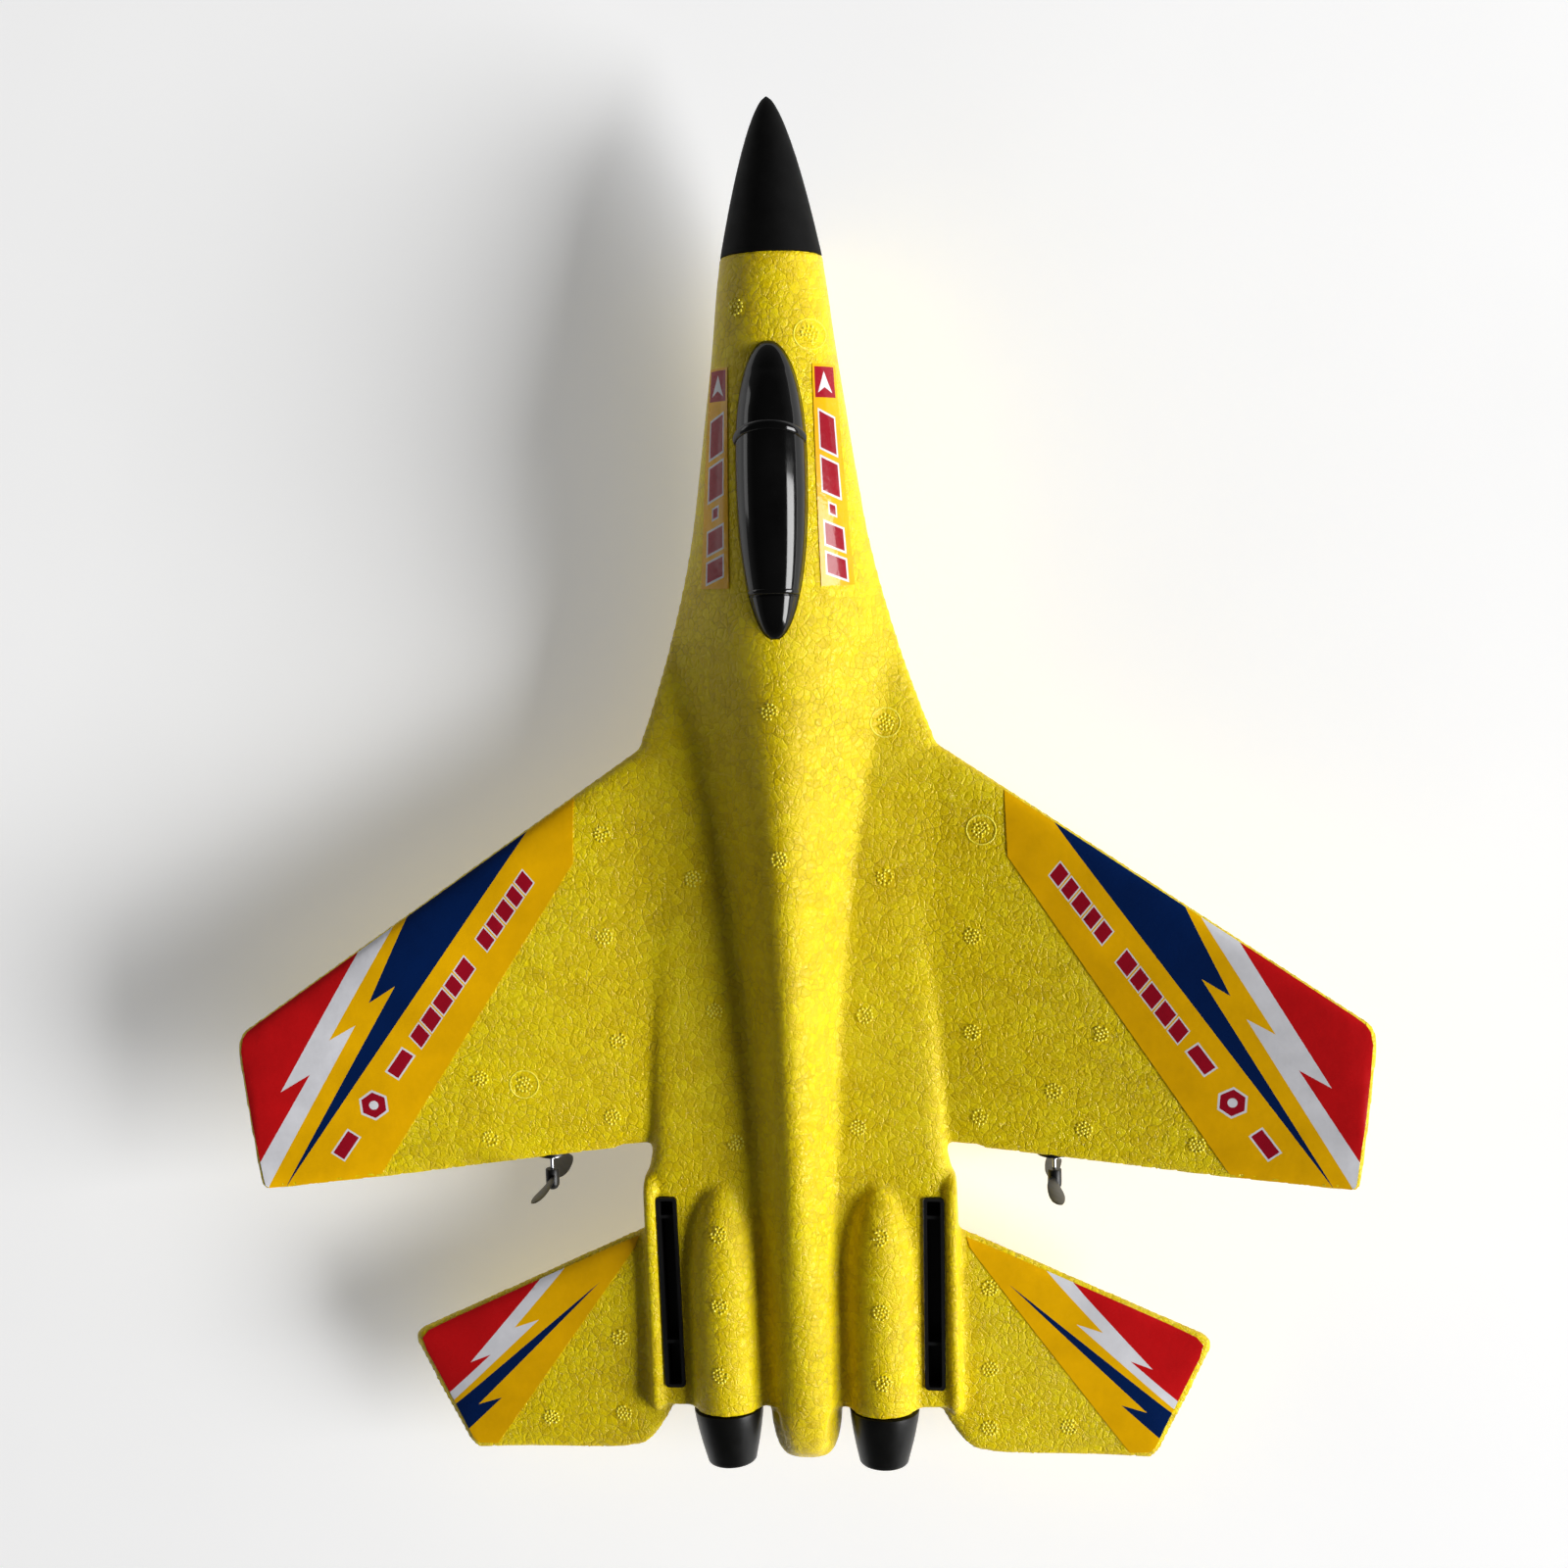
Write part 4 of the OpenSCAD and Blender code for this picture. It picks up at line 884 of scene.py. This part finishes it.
def canopy_relief(aft):
    """Height of the ring, rear step, lip and groove that run over the canopy."""
    def bulge(centre, half):
        return max(0.0, 1 - ((aft - centre) / half) ** 2)

    ring = 0.75 * bulge(89.7, 1.25) ** 0.5
    step = -0.45 * (1 - min(1, max(0, (aft - 132) / 9))) if aft > 129.1 else 0.0
    lip = 0.26 * bulge(128.45, 0.6) ** 0.5
    groove = -0.3 * bulge(129.3, 0.3)
    return ring + step + lip + groove


def canopy_arch(aft, inset):
    """Arch of the outer face (inset 0) or the inner face."""
    relief = 0.0 if inset > 0 else canopy_relief(aft)
    full_half = canopy_half(aft)
    full_rise = (CANOPY_H - CANOPY_SUNK) * canopy_fullness(aft) ** 0.62
    half = max(full_half - inset, 0.3 * full_half)
    rise = max(full_rise - inset, 0.3 * full_rise)
    at_aft = CANOPY_MID + (aft - CANOPY_MID) * (1 - inset / 32)
    rake = line(CANOPY_RAKE, aft)
    rim = body_top(full_half, aft)
    crown = body_top(0.0, aft) + rise
    out = [place(-half, at_aft, seat_up(at_aft))]
    for angle in np.linspace(0, math.pi, ARCH - 1):
        sine = math.sin(angle)
        extra = relief * min(1, 4 * sine)
        out.append(place(-(half + extra) * math.cos(angle), at_aft - rake * sine,
                         rim + (crown - rim + extra) * sine ** 0.95))
    return out + [place(half, at_aft, seat_up(at_aft))]


def canopy_shell():
    run = canopy_stations(46, 56) + list(np.linspace(88.4, 91.0, 14)) + LIP_STATIONS
    run = sorted({round(aft, 3) for aft in run})
    row = ARCH + 1
    inner = row * len(run)              # index of the first vertex of the inner face
    verts = [p for inset in (0, CANOPY_SHELL) for aft in run for p in canopy_arch(aft, inset)]
    faces = []
    for start in range(0, inner - row, row):
        for a in range(start, start + ARCH):
            b = a + row
            faces += [(a, b, b + 1, a + 1), (inner + a, inner + a + 1, inner + b + 1, inner + b)]
        # Bottom edges joining the two faces
        end = start + ARCH
        faces += [(start, inner + start, inner + start + row, start + row),
                  (end, end + row, inner + end + row, inner + end)]
    back = inner - row
    faces += [(0, ARCH, inner + ARCH, inner),
              (back + ARCH, back, inner + back, inner + back + ARCH),
              tuple(range(row)), tuple(range(inner + ARCH, inner - 1, -1)),
              tuple(range(back + ARCH, back - 1, -1)),
              tuple(range(inner + back, inner + back + row))]
    ob = outward(make("canopy_bubble", verts, faces))
    crease(ob, 40)
    return ob


piece(nose_cone(), "airframe", "nose", "nose_cone")
piece(canopy_shell(), "airframe", "canopy", "canopy")
for side, word in SIDES:
    nozzle = skin(word + "_nozzle_cone", nozzle_rings(NOZZLE, 112), side)
    crease(nozzle, 35)
    piece(nozzle, "airframe", "nozzle", word + "_exhaust_nozzle")


# ------------------------------------------------------------------ film panels
FILM_LIFT, FILM_THICK = 0.24, 0.16


def inside(poly, x, y):
    result = False
    for i, (x1, y1) in enumerate(poly):
        x2, y2 = poly[(i + 1) % len(poly)]
        if (y1 > y) != (y2 > y) and x < (x2 - x1) * (y - y1) / (y2 - y1) + x1:
            result = not result
    return result


def edge_distance(poly, x, y):
    start = np.array(poly)
    step = np.roll(start, -1, 0) - start
    dot = (x - start[:, 0]) * step[:, 0] + (y - start[:, 1]) * step[:, 1]
    t = np.clip(dot / np.maximum((step**2).sum(1), 1e-9), 0, 1)
    near = start + t[:, None] * step
    return float(np.min(np.hypot(near[:, 0] - x, near[:, 1] - y)))


def subdivide(poly, step):
    out = []
    for i, (x1, y1) in enumerate(poly):
        x2, y2 = poly[(i + 1) % len(poly)]
        n = max(1, int(math.hypot(x2 - x1, y2 - y1) / step))
        out += [(x1 + (x2 - x1) * k / n, y1 + (y2 - y1) * k / n) for k in range(n)]
    return out


def triangulate(base, shapes, step, extra):
    """Flat mesh of the base outline, with edges along every shape's outline."""
    verts, edges = [], []
    for poly in [base] + [outline for _, outline in shapes]:
        points = subdivide(poly, step)
        first = len(verts)
        verts += [Vector(p) for p in points]
        edges += [(first + i, first + (i + 1) % len(points)) for i in range(len(points))]
    xs, ys = zip(*base)
    for i, x in enumerate(np.arange(min(xs), max(xs), step)):
        for y in np.arange(min(ys) + (i % 2) * step / 2, max(ys), step):
            if inside(base, x, y) and edge_distance(base, x, y) > step * 0.5:
                verts.append(Vector((float(x), float(y))))
    verts += [Vector(p) for p in extra if inside(base, *p) and edge_distance(base, *p) > 0.3]
    return delaunay_2d_cdt(verts, edges, [], 0, 1e-4)[::2][:2]


def add_film(part, base, shapes, lift, step, extra=()):
    """Thin film over the foam. Shapes are (colour, outline), later ones on top, and lift
    turns a flat point into a point on the foam and its outward normal."""
    flat, triangles = triangulate(base, shapes, step, extra)
    kept, slots, used = [], [], ["orange"]
    for face in triangles:
        x = sum(flat[i][0] for i in face) / len(face)
        y = sum(flat[i][1] for i in face) / len(face)
        if not inside(base, x, y):
            continue
        color = "orange"
        for shape_color, outline in shapes:
            if inside(outline, x, y):
                color = shape_color
        if color not in used:
            used.append(color)
        kept.append(tuple(face))
        slots.append(used.index(color))
    live = sorted({i for face in kept for i in face})
    index = {old: new for new, old in enumerate(live)}
    points, normals = zip(*[lift(flat[i][0], flat[i][1]) for i in live])
    faces = [tuple(index[i] for i in face) for face in kept]
    mesh = bpy.data.meshes.new(part + "_film")
    mesh.from_pydata([tuple(c * MM for c in p) for p in points], [], faces)
    for color in used:
        mesh.materials.append(MATERIALS[color])
    for polygon, slot in zip(mesh.polygons, slots):
        polygon.material_index = slot
    mesh.update()
    ob = bpy.data.objects.new(part + "_film", mesh)
    bpy.context.scene.collection.objects.link(ob)
    if sum(Vector(normals[faces[k][0]]).dot(mesh.polygons[k].normal)
           for k in range(0, len(faces), 7)) < 0:
        mesh.flip_normals()
    # Stand the film just proud of the foam.
    verts = np.array([tuple(v.co) for v in mesh.vertices])
    verts += np.array([tuple(Vector(n).normalized()) for n in normals]) * FILM_LIFT * MM
    mesh.vertices.foreach_set("co", verts.ravel())
    mesh.update()
    swap_mesh(ob, modified_mesh(ob, "SOLIDIFY", thickness=FILM_THICK * MM, offset=-1))
    ob.data.shade_smooth()
    crease(ob, 50)
    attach(ob, "airframe")
    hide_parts(part + "_decal")


def panel_lift(side, surface):
    """Lift for the upper face of a wing or tail; flat points are (x, aft)."""
    leading, trailing, mid, half = surface

    def height(x, aft):
        front, back = line(leading, x), line(trailing, x)
        chord = min(1.0, max(0.0, (aft - front) / (back - front)))
        return mid(x) + float(line(half, x)) * float(section_height(chord))

    def lift(x, aft):
        slope_x = (height(x + 0.1, aft) - height(x - 0.1, aft)) / 0.2
        slope_aft = (height(x, aft + 0.1) - height(x, aft - 0.1)) / 0.2
        slope_x, slope_aft = (max(-3, min(3, slope)) for slope in (slope_x, slope_aft))
        return place(side * x, aft, height(x, aft)), (-slope_x * side, -slope_aft, 1.0)
    return lift


def flank_lift(side):
    """Lift for the nose flank; flat points are (aft, 0 at the upper edge to 12 at the lower)."""
    def lift(aft, down):
        upper, lower = 10.8 + (aft - 70) * 0.018, 16.3 + (aft - 70) * 0.07
        x = upper + (lower - upper) * (down / 12.0)
        slope = float(body_top(x + 0.05, aft) - body_top(x - 0.05, aft)) / 0.1
        return place(x * side, aft, float(body_top(x, aft))), (-slope * side, 0, 1)
    return lift


def slanted(centre, along, length, height, slant):
    """Parallelogram with its length along a direction."""
    size = math.hypot(*along)
    dx, dy = along[0] / size, along[1] / size
    out = []
    for a, b in ((-0.5, -0.5), (0.5, -0.5), (0.5, 0.5), (-0.5, 0.5)):
        run = a * length + b * height * slant
        out.append((centre[0] + dx * run - dy * b * height,
                    centre[1] + dy * run + dx * b * height))
    return out


def bar(centre, along, length, height, slant, rim):
    """Crimson bar with a white rim."""
    return [("white", slanted(centre, along, length + 2 * rim, height + 2 * rim, slant)),
            ("crimson", slanted(centre, along, length, height, slant))]


def bars(start, end, widths, height, gap, slant=0.25, rim=0.36):
    """A row of slanted bars between two points, their widths in proportion."""
    length = math.hypot(end[0] - start[0], end[1] - start[1])
    dx, dy = (end[0] - start[0]) / length, (end[1] - start[1]) / length
    unit = (length - gap * (len(widths) - 1)) / sum(widths)
    out = []
    done = 0.0
    for width in widths:
        width *= unit
        centre = (start[0] + dx * (done + width / 2), start[1] + dy * (done + width / 2))
        out += bar(centre, (dx, dy), width, height, slant, rim)
        done += width + gap
    return out


def badge(color, radius, sides, turn=0.0):
    """Regular polygon at the wing badge's centre."""
    return (color, [(116.6 + radius * math.cos(a), 266.2 + radius * math.sin(a))
                    for a in np.linspace(0, 2 * math.pi, sides, endpoint=False) + turn])


def wing_front(x):
    return float(line(WING_LE, x))


def tail_front(x):
    return float(line(TAIL_LE, x))


# Film outlines on the wing and tail: (x, aft)
WING_BASE = (
    [(58.2, wing_front(58.2) + 0.9)] + [(x, wing_front(x) + 0.8) for x in (75, 95, 115, 135, 147)]
    + [(150.4, wing_front(150.4) + 1.0), (151.6, 246.6), (152.1, 250), (151.6, 257.5),
       (150.5, 269.5), (149.4, 278), (148.2, 288.4), (147.2, 289.2)]
    + [(x, float(line(WING_TE, x)) - 0.5) for x in (140, 125, 116.4)] + [(58.8, 200.2)])
WING_SHAPES = [
    ("red", [(117.3, 221.0), (135, 232.6), (148, 241.2), (153.4, 244), (154, 250), (151.5, 279),
             (150.6, 284), (150, 283.2), (133.5, 256.9), (141.8, 261.6)]),
    ("white", [(107.6, 214.6), (117.3, 221.0), (141.8, 261.6), (133.5, 256.9), (150, 283.2),
               (149.8, 291), (148.6, 291), (120.2, 243.4), (127.6, 247.4)]),
    ("blue", [(69.4, 189.0), (103.4, 211.0), (116.2, 237.3), (108.8, 232.8), (142.9, 289.6)])]
WING_SHAPES += bars((71.2, 203.6), (84.6, 222.0), (1, 0.9, 1.1, 0.9, 1), height=4.3, gap=1.15)
WING_SHAPES += bars((88.2, 226.9), (104.0, 248.6), (1, 0.8, 1, 1, 0.9), height=4.3, gap=1.15)
for centre in ((108.6, 254.6), (125.0, 277.4)):
    WING_SHAPES += bar(centre, (34.6, 47.4), length=7.6, height=3.5, slant=0, rim=0.5)
WING_SHAPES += [badge("white", 4.4, 6, 0.6), badge("crimson", 3.7, 6, 0.6),
                badge("white", 1.3, 20)]
TAIL_BASE = (
    [(45.6, 306.4)] + [(x, tail_front(x) + 1.2) for x in (55, 70, 85, 100)]
    + [(107.8, 335.2), (109.6, 337.4), (108.6, 341.2), (103.6, 351.6), (99, 361.2),
       (96.3, 367.2), (94.8, 368.6), (89.4, 368.7), (46.6, 309.4)])
TAIL_SHAPES = [
    ("red", [(73.1, 318.0), (109, 334), (112, 338), (104.4, 356.4), (103.2, 354.2),
             (89.8, 341.8), (95.8, 344.2)]),
    ("white", [(66.2, 315.0), (73.1, 318.0), (95.8, 344.2), (89.8, 341.8), (103.2, 354.2),
               (104.2, 357.4), (103.3, 357.6), (75.2, 331.1), (82.4, 333.6)]),
    ("blue", [(57, 319.6), (102.8, 358.6), (99.6, 366.4), (87.2, 354.6), (94.2, 356.8)])]
# Extra rows of points where the surfaces roll over at the leading edge and tip
WING_ROWS = [(x, wing_front(x) + o) for x in np.arange(59, 152, 0.9)
             for o in (1.15, 1.6, 2.2, 3.0, 4.2)]
WING_ROWS += [(151.9 - o - (aft - 250) ** 2 * 0.0016, aft) for aft in np.arange(246, 288, 0.9)
              for o in (0.3, 0.8, 1.5, 2.4)]
TAIL_TIP = [(336, 110.2), (342, 108.1), (352, 103.2), (367, 96.2)]      # (aft, x)
TAIL_ROWS = [(x, tail_front(x) + o) for x in np.arange(46, 109, 0.9) for o in (1.5, 2.0, 2.7, 3.6)]
TAIL_ROWS += [(float(line(TAIL_TIP, aft)) - o, aft) for aft in np.arange(336, 368, 0.9)
              for o in (0.4, 0.9, 1.6)]
# Flank film: (aft, down)
FLANK_BASE = [(70, 0.2), (127, 0.2), (127, 11.8), (70, 11.8)]
FLANK_SHAPES = [("crimson", [(70.6, 1.2), (78.6, 1.2), (78.6, 10.8), (70.6, 10.8)]),
                ("white", [(71.8, 6), (77.4, 2.6), (75.9, 6), (77.4, 9.4)])]
for start, end, widths, height, gap, rim in (
        (83, 103.4, (1, 0.9), 6.6, 2.6, 0.6), (106.2, 108.6, (1,), 2.2, 2.0, 0.5),
        (111.6, 124.6, (1, 0.9), 6.6, 2.4, 0.6)):
    FLANK_SHAPES += bars((start, 6), (end, 6), widths, height, gap, slant=0.3, rim=rim)

wing_step, tail_step = ((1.7, 1.5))
for side, word in SIDES:
    add_film(word + "_wing", WING_BASE, WING_SHAPES, panel_lift(side, WING), wing_step, WING_ROWS)
    add_film(word + "_tail", TAIL_BASE, TAIL_SHAPES, panel_lift(side, TAIL), tail_step, TAIL_ROWS)
for side, word in SIDES:
    add_film(word + "_flank", FLANK_BASE, FLANK_SHAPES, flank_lift(side), 1.4)

# ------------------------------------------------------------------ mould vent marks
# Clusters of small raised beads: (x, aft)
VENTS = [
    (8.5, 54.8), (-10.5, 62.4), (2.1, 159.1), (-27.1, 163.9), (50.6, 192.5), (0.9, 198.2),
    (26.2, 205.3), (-25.8, 205.5), (-51.9, 193.1), (51.2, 220.8), (-48.9, 222.0), (21.6, 241.9),
    (-19.5, 243.5), (48.6, 250.3), (-48.4, 248.5), (87.1, 259.6), (75.1, 261.7), (-82.4, 248.1),
    (-70.0, 264.3), (51.2, 272.0), (-50.0, 272.2), (85.3, 277.0), (-77.9, 274.9),
    (-107.5, 278.1), (17.0, 278.9), (-16.8, 274.6), (22.0, 303.4), (22.2, 323.2), (22.6, 343),
    (-22.4, 304), (-22.1, 324.6), (-22.4, 344.8), (52.1, 335.8), (51.9, 358.3), (73.1, 360.3),
    (-51.7, 320.7), (-51.3, 344.1), (-50.9, 361.4), (-72.9, 361.1)]
RINGED = {(-51.9, 193.1), (-27.1, 163.9), (-10.5, 62.4), (75.1, 261.7)}


def circle(radius, count, turn=0.0):
    return [(radius * math.cos(turn + a), radius * math.sin(turn + a))
            for a in np.linspace(0, 2 * math.pi, count, endpoint=False)]


def add_bead(verts, faces, centre, normal, radius, height, sides=8):
    """Low dome with its foot sunk 0.12 mm into the foam."""
    across = normal.orthogonal().normalized()
    over = normal.cross(across)
    first = len(verts)
    for tilt, sink in ((0.0, 0.12), (0.6, 0), (1.1, 0)):
        for j in range(sides):
            angle = 2 * math.pi * j / sides
            spoke = across * math.cos(angle) + over * math.sin(angle)
            verts.append(centre + spoke * radius * math.cos(tilt)
                         + normal * (height * math.sin(tilt) - sink))
    verts.append(centre + normal * height)
    for low in (first, first + sides):
        for j in range(sides):
            k = (j + 1) % sides
            faces.append((low + j, low + k, low + sides + k, low + sides + j))
    top = first + 2 * sides
    for j in range(sides):
        faces.append((top + j, top + (j + 1) % sides, top + sides))
    faces.append(tuple(first + sides - 1 - j for j in range(sides)))


def vent_marks():
    verts, faces = [], []
    for vent in VENTS:
        turn = random.random() * 3
        for dx, dy in [(0, 0)] + circle(0.98, 6, turn) + circle(1.95, 12, turn):
            if random.random() < 0.06:
                continue
            x = vent[0] + dx + random.uniform(-0.1, 0.1)
            spot = foam_point(x, vent[1] + dy + random.uniform(-0.1, 0.1))
            if spot:
                add_bead(verts, faces, *spot, random.uniform(0.36, 0.46),
                         random.uniform(0.3, 0.42))
        if vent in RINGED:
            for dx, dy in circle(3.9, 64):
                spot = foam_point(vent[0] + dx, vent[1] + dy)
                if spot:
                    add_bead(verts, faces, *spot, 0.27, 0.16, 6)
    return make("mould_vent_marks", [tuple(v) for v in verts], faces)


# The vent beads get the lighter yellow of the painted highlight.
vent_painted_highlight = vent_material()
vents = vent_marks()
paint(vents, vent_painted_highlight)
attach(vents, "airframe")

# ------------------------------------------------------------------ propellers and wires
BLADE_BEND, BLADE_TIP = 20.6, 1.4       # radius where the rounded tip starts, and its length
# (radius, chord, thickness, pitch in degrees)
BLADE = [(1.2, 2.6, 1.5, 52), (3.2, 3.2, 1.3, 46), (6, 4.6, 1.1, 40), (10, 5.4, 0.95, 33),
         (14, 5.2, 0.85, 27), (18, 4.4, 0.75, 22), (20.6, 3.2, 0.65, 20.4), (21.7, 1.8, 0.5, 20),
         (22, 0.8, 0.4, 20)]
# (radius, aft) from the shaft hole's front, over the spinner and back in
HUB = [(0.54, 287.9), (1.75, 287.9), (1.9, 288.1), (1.9, 292.2), (1.82, 292.6), (1.55, 293.1),
       (1.2, 293.55), (0.8, 293.8), (0.02, 293.85), (0.02, 292.4), (0.54, 292.3)]


def blade_rings(turn):
    """One blade; turn 1 points up from the hub and -1 down."""
    rings = []
    tip = BLADE_BEND + 1.38 * np.sin(np.linspace(0.15, 1.57, 10))
    for radius in np.concatenate([np.linspace(1.2, BLADE_BEND, 34), tip]):
        chord, thick, pitch = curves(BLADE, radius)
        if radius > BLADE_BEND:
            share = (radius - BLADE_BEND) / BLADE_TIP
            chord = 3.2 * math.sqrt(max(0.02, 1 - share ** 2))
        cos, sin = math.cos(math.radians(pitch)), math.sin(math.radians(pitch))
        ring = []
        for j in range(28):
            angle = 2 * math.pi * j / 28
            side_rise = math.sin(angle)
            bulge = (0.5 if side_rise > 0 else 0.28) * abs(side_rise) ** 0.9
            x, y = -0.5 * math.cos(angle) * chord, math.copysign(bulge, side_rise) * thick
            ring.append(place(POD_X + turn * (x * cos - y * sin), PROP_AFT + x * sin + y * cos,
                              POD_UP + turn * radius))
        rings.append(ring)
    return rings


for side, word in SIDES:
    parts = [skin("blade", blade_rings(turn), side) for turn in (1, -1)]
    parts.append(skin("hub", lathe(HUB, POD_X, POD_UP, 48), side, caps=False))
    propeller = join(parts, word + "_two_blade_propeller")
    crease(propeller, 45)
    piece(propeller, word + "_prop", "black", word + "_propeller")
    shaft = rod(side * POD_X, 272.4, 292.1, POD_UP, 0.5, 32, word + "_steel_shaft")
    crease(shaft, 40)
    piece(shaft, word + "_prop", "steel", word + "_motor_shaft")
    for color, shift in (("red", -0.62), ("blue", 0.62)):
        path = [(side * (x + shift), aft, up) for x, aft, up in [(POD_X, 263.8, POD_UP)] + WIRE]
        wire = tube(word + "_motor_wire_" + color, path, 0.5, steps=12)
        piece(wire, "airframe", color + "_wire", word + "_motor_wires")

for color, x in (("red", -1.3), ("black", 1.3)):
    path = [(x, 121.25, -8.6), (x * 1.1, 123.2, -8.4), (x, 125.5, -8.6), (x, 129, -8.6)]
    wire = tube("battery_wire_" + color, path, 0.5, steps=10)
    piece(wire, "airframe", color + "_wire", "battery_lead")

# ------------------------------------------------------------------ finishes on the CAD nodes
# node: (finish, bevel width or 0)
FINISH = {
    "left_fin_socket": ("black", 0.25), "right_fin_socket": ("black", 0.25),
    "equipment_tray": ("black", 0.15), "battery_hatch": ("black", 0.2),
    "hatch_hinge_pin": ("steel", 0), "electronics_cover": ("black", 0.2),
    "cover_screws": ("steel", 0), "battery": ("foil", 0.25), "battery_pad": ("sponge", 0.6),
    "battery_plug": ("ivory", 0.12), "battery_socket": ("ivory", 0.12),
    "receiver_board": ("board", 0), "control_chip": ("chip", 0.06), "crystal_can": ("tin", 0),
    "motor_transistors": ("chip", 0), "antenna_wire": ("black_wire", 0),
    "switch_body": ("tin", 0.12), "switch_slider": ("black", 0.1),
    "charge_socket": ("ivory", 0.12), "charge_pins": ("brass", 0), "status_led": ("lamp", 0),
    "left_motor_pod": ("black", 0), "right_motor_pod": ("black", 0),
    "left_motor_can": ("can", 0), "right_motor_can": ("can", 0)}
for name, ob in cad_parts.items():
    finish, width = FINISH.get(name, (None, 0))
    if finish:
        paint(ob, MATERIALS[finish])
    if width:
        bevel = ob.modifiers.new("soft edges", "BEVEL")
        bevel.width = width * MM
        bevel.segments = 2
        bevel.limit_method = "ANGLE"
        bevel.angle_limit = math.radians(40)
        bevel.use_clamp_overlap = True


# ------------------------------------------------------------------ floor, light and camera
def floor_material():
    """Pale paper that glows more with distance and is clear from underneath."""
    mat = Shader("pale_paper_floor")
    paper = mat.ramp(mat.noise(scale=6), [(0.3, grey(0.88)), (0.7, grey(0.92))])
    mat.set(Base_Color=paper, Roughness=0.9, Emission_Color=grey(1))
    far = mat.node("ShaderNodeVectorMath", operation="LENGTH", Vector=mat.coords)
    glow = mat.node("ShaderNodeMapRange", interpolation_type="SMOOTHSTEP", From_Min=0.45,
                    From_Max=2.4, To_Min=0.27, To_Max=0.95, Value=far.outputs["Value"])
    mat.set(Emission_Strength=glow.outputs["Result"], Specular_IOR_Level=0.1)
    below = mat.node("ShaderNodeMixShader")
    geometry = mat.node("ShaderNodeNewGeometry")
    clear = mat.node("ShaderNodeBsdfTransparent")
    for socket, value in zip(below.inputs, (geometry.outputs["Backfacing"],
                                            mat.surface.outputs[0], clear.outputs[0])):
        feed(socket, value)
    output = next(n for n in mat.tree.nodes if n.type == "OUTPUT_MATERIAL")
    feed(output.inputs["Surface"], below.outputs[0])
    return mat.material


def softbox(name, location, aim, size, power):
    """Rectangular area light; places and sizes in metres, power in watts."""
    light = bpy.data.lights.new(name, "AREA")
    light.shape = "RECTANGLE"
    light.size, light.size_y = size
    light.energy = power
    ob = bpy.data.objects.new(name, light)
    bpy.context.scene.collection.objects.link(ob)
    ob.location = location
    ob.rotation_euler = (Vector(aim) - Vector(location)).to_track_quat("-Z", "Y").to_euler()


def studio_world():
    """White to the camera; for light, a dim grey that darkens upwards."""
    world = bpy.data.worlds.new("studio")
    bpy.context.scene.world = world
    world.use_nodes = True
    tree = world.node_tree
    coords = add_node(tree, "ShaderNodeTexCoord")
    split = add_node(tree, "ShaderNodeSeparateXYZ", Vector=coords.outputs["Generated"])
    dim = add_ramp(tree, split.outputs["Z"], [(0.0, grey(0.22)), (0.6, grey(0.05))])
    path = add_node(tree, "ShaderNodeLightPath")
    color = add_mix(tree, path.outputs["Is Camera Ray"], dim, grey(1.0))
    background = tree.nodes["Background"]
    feed(background.inputs["Color"], color)
    background.inputs["Strength"].default_value = 1.0


def add_camera():
    # Rows: the camera's right, up and backward directions
    axes = Matrix(((-0.9943577461659201, 0.03138928550212574, -0.10132810762812815),
                   (-0.019421332109498847, -0.9929413259046843, -0.11700570571446428),
                   (-0.10428559104173515, -0.11437760299251472, 0.9879485206399989)))
    location = Vector((-55.427, -67.276, WING_Z + 534.307)) * MM
    camera = bpy.data.cameras.new("photo_camera")
    ob = bpy.data.objects.new("photo_camera", camera)
    bpy.context.scene.collection.objects.link(ob)
    camera.sensor_width = 36
    camera.lens = 45.855
    camera.clip_start = 0.01
    camera.clip_end = 20
    ob.matrix_world = Matrix.Translation(location) @ axes.transposed().to_4x4()
    bpy.context.scene.camera = ob


FLOOR_HALF, FLOOR_Z = 12000, -0.12
floor = make("floor", [(x * FLOOR_HALF, y * FLOOR_HALF, FLOOR_Z)
                       for x, y in ((-1, -1), (1, -1), (1, 1), (-1, 1))], [(0, 1, 2, 3)], False)
paint(floor, floor_material())
softbox("key_softbox", location=(-3.5, 0.75, 1.72), aim=(0, 0, 0.02), size=(2.7, 1.8), power=250)
softbox("fill_softbox", location=(3.6, -1.1, 0.55), aim=(0, 0, 0.03), size=(2.0, 1.0), power=11)
studio_world()
add_camera()
bpy.context.scene.view_settings.view_transform = "Standard"
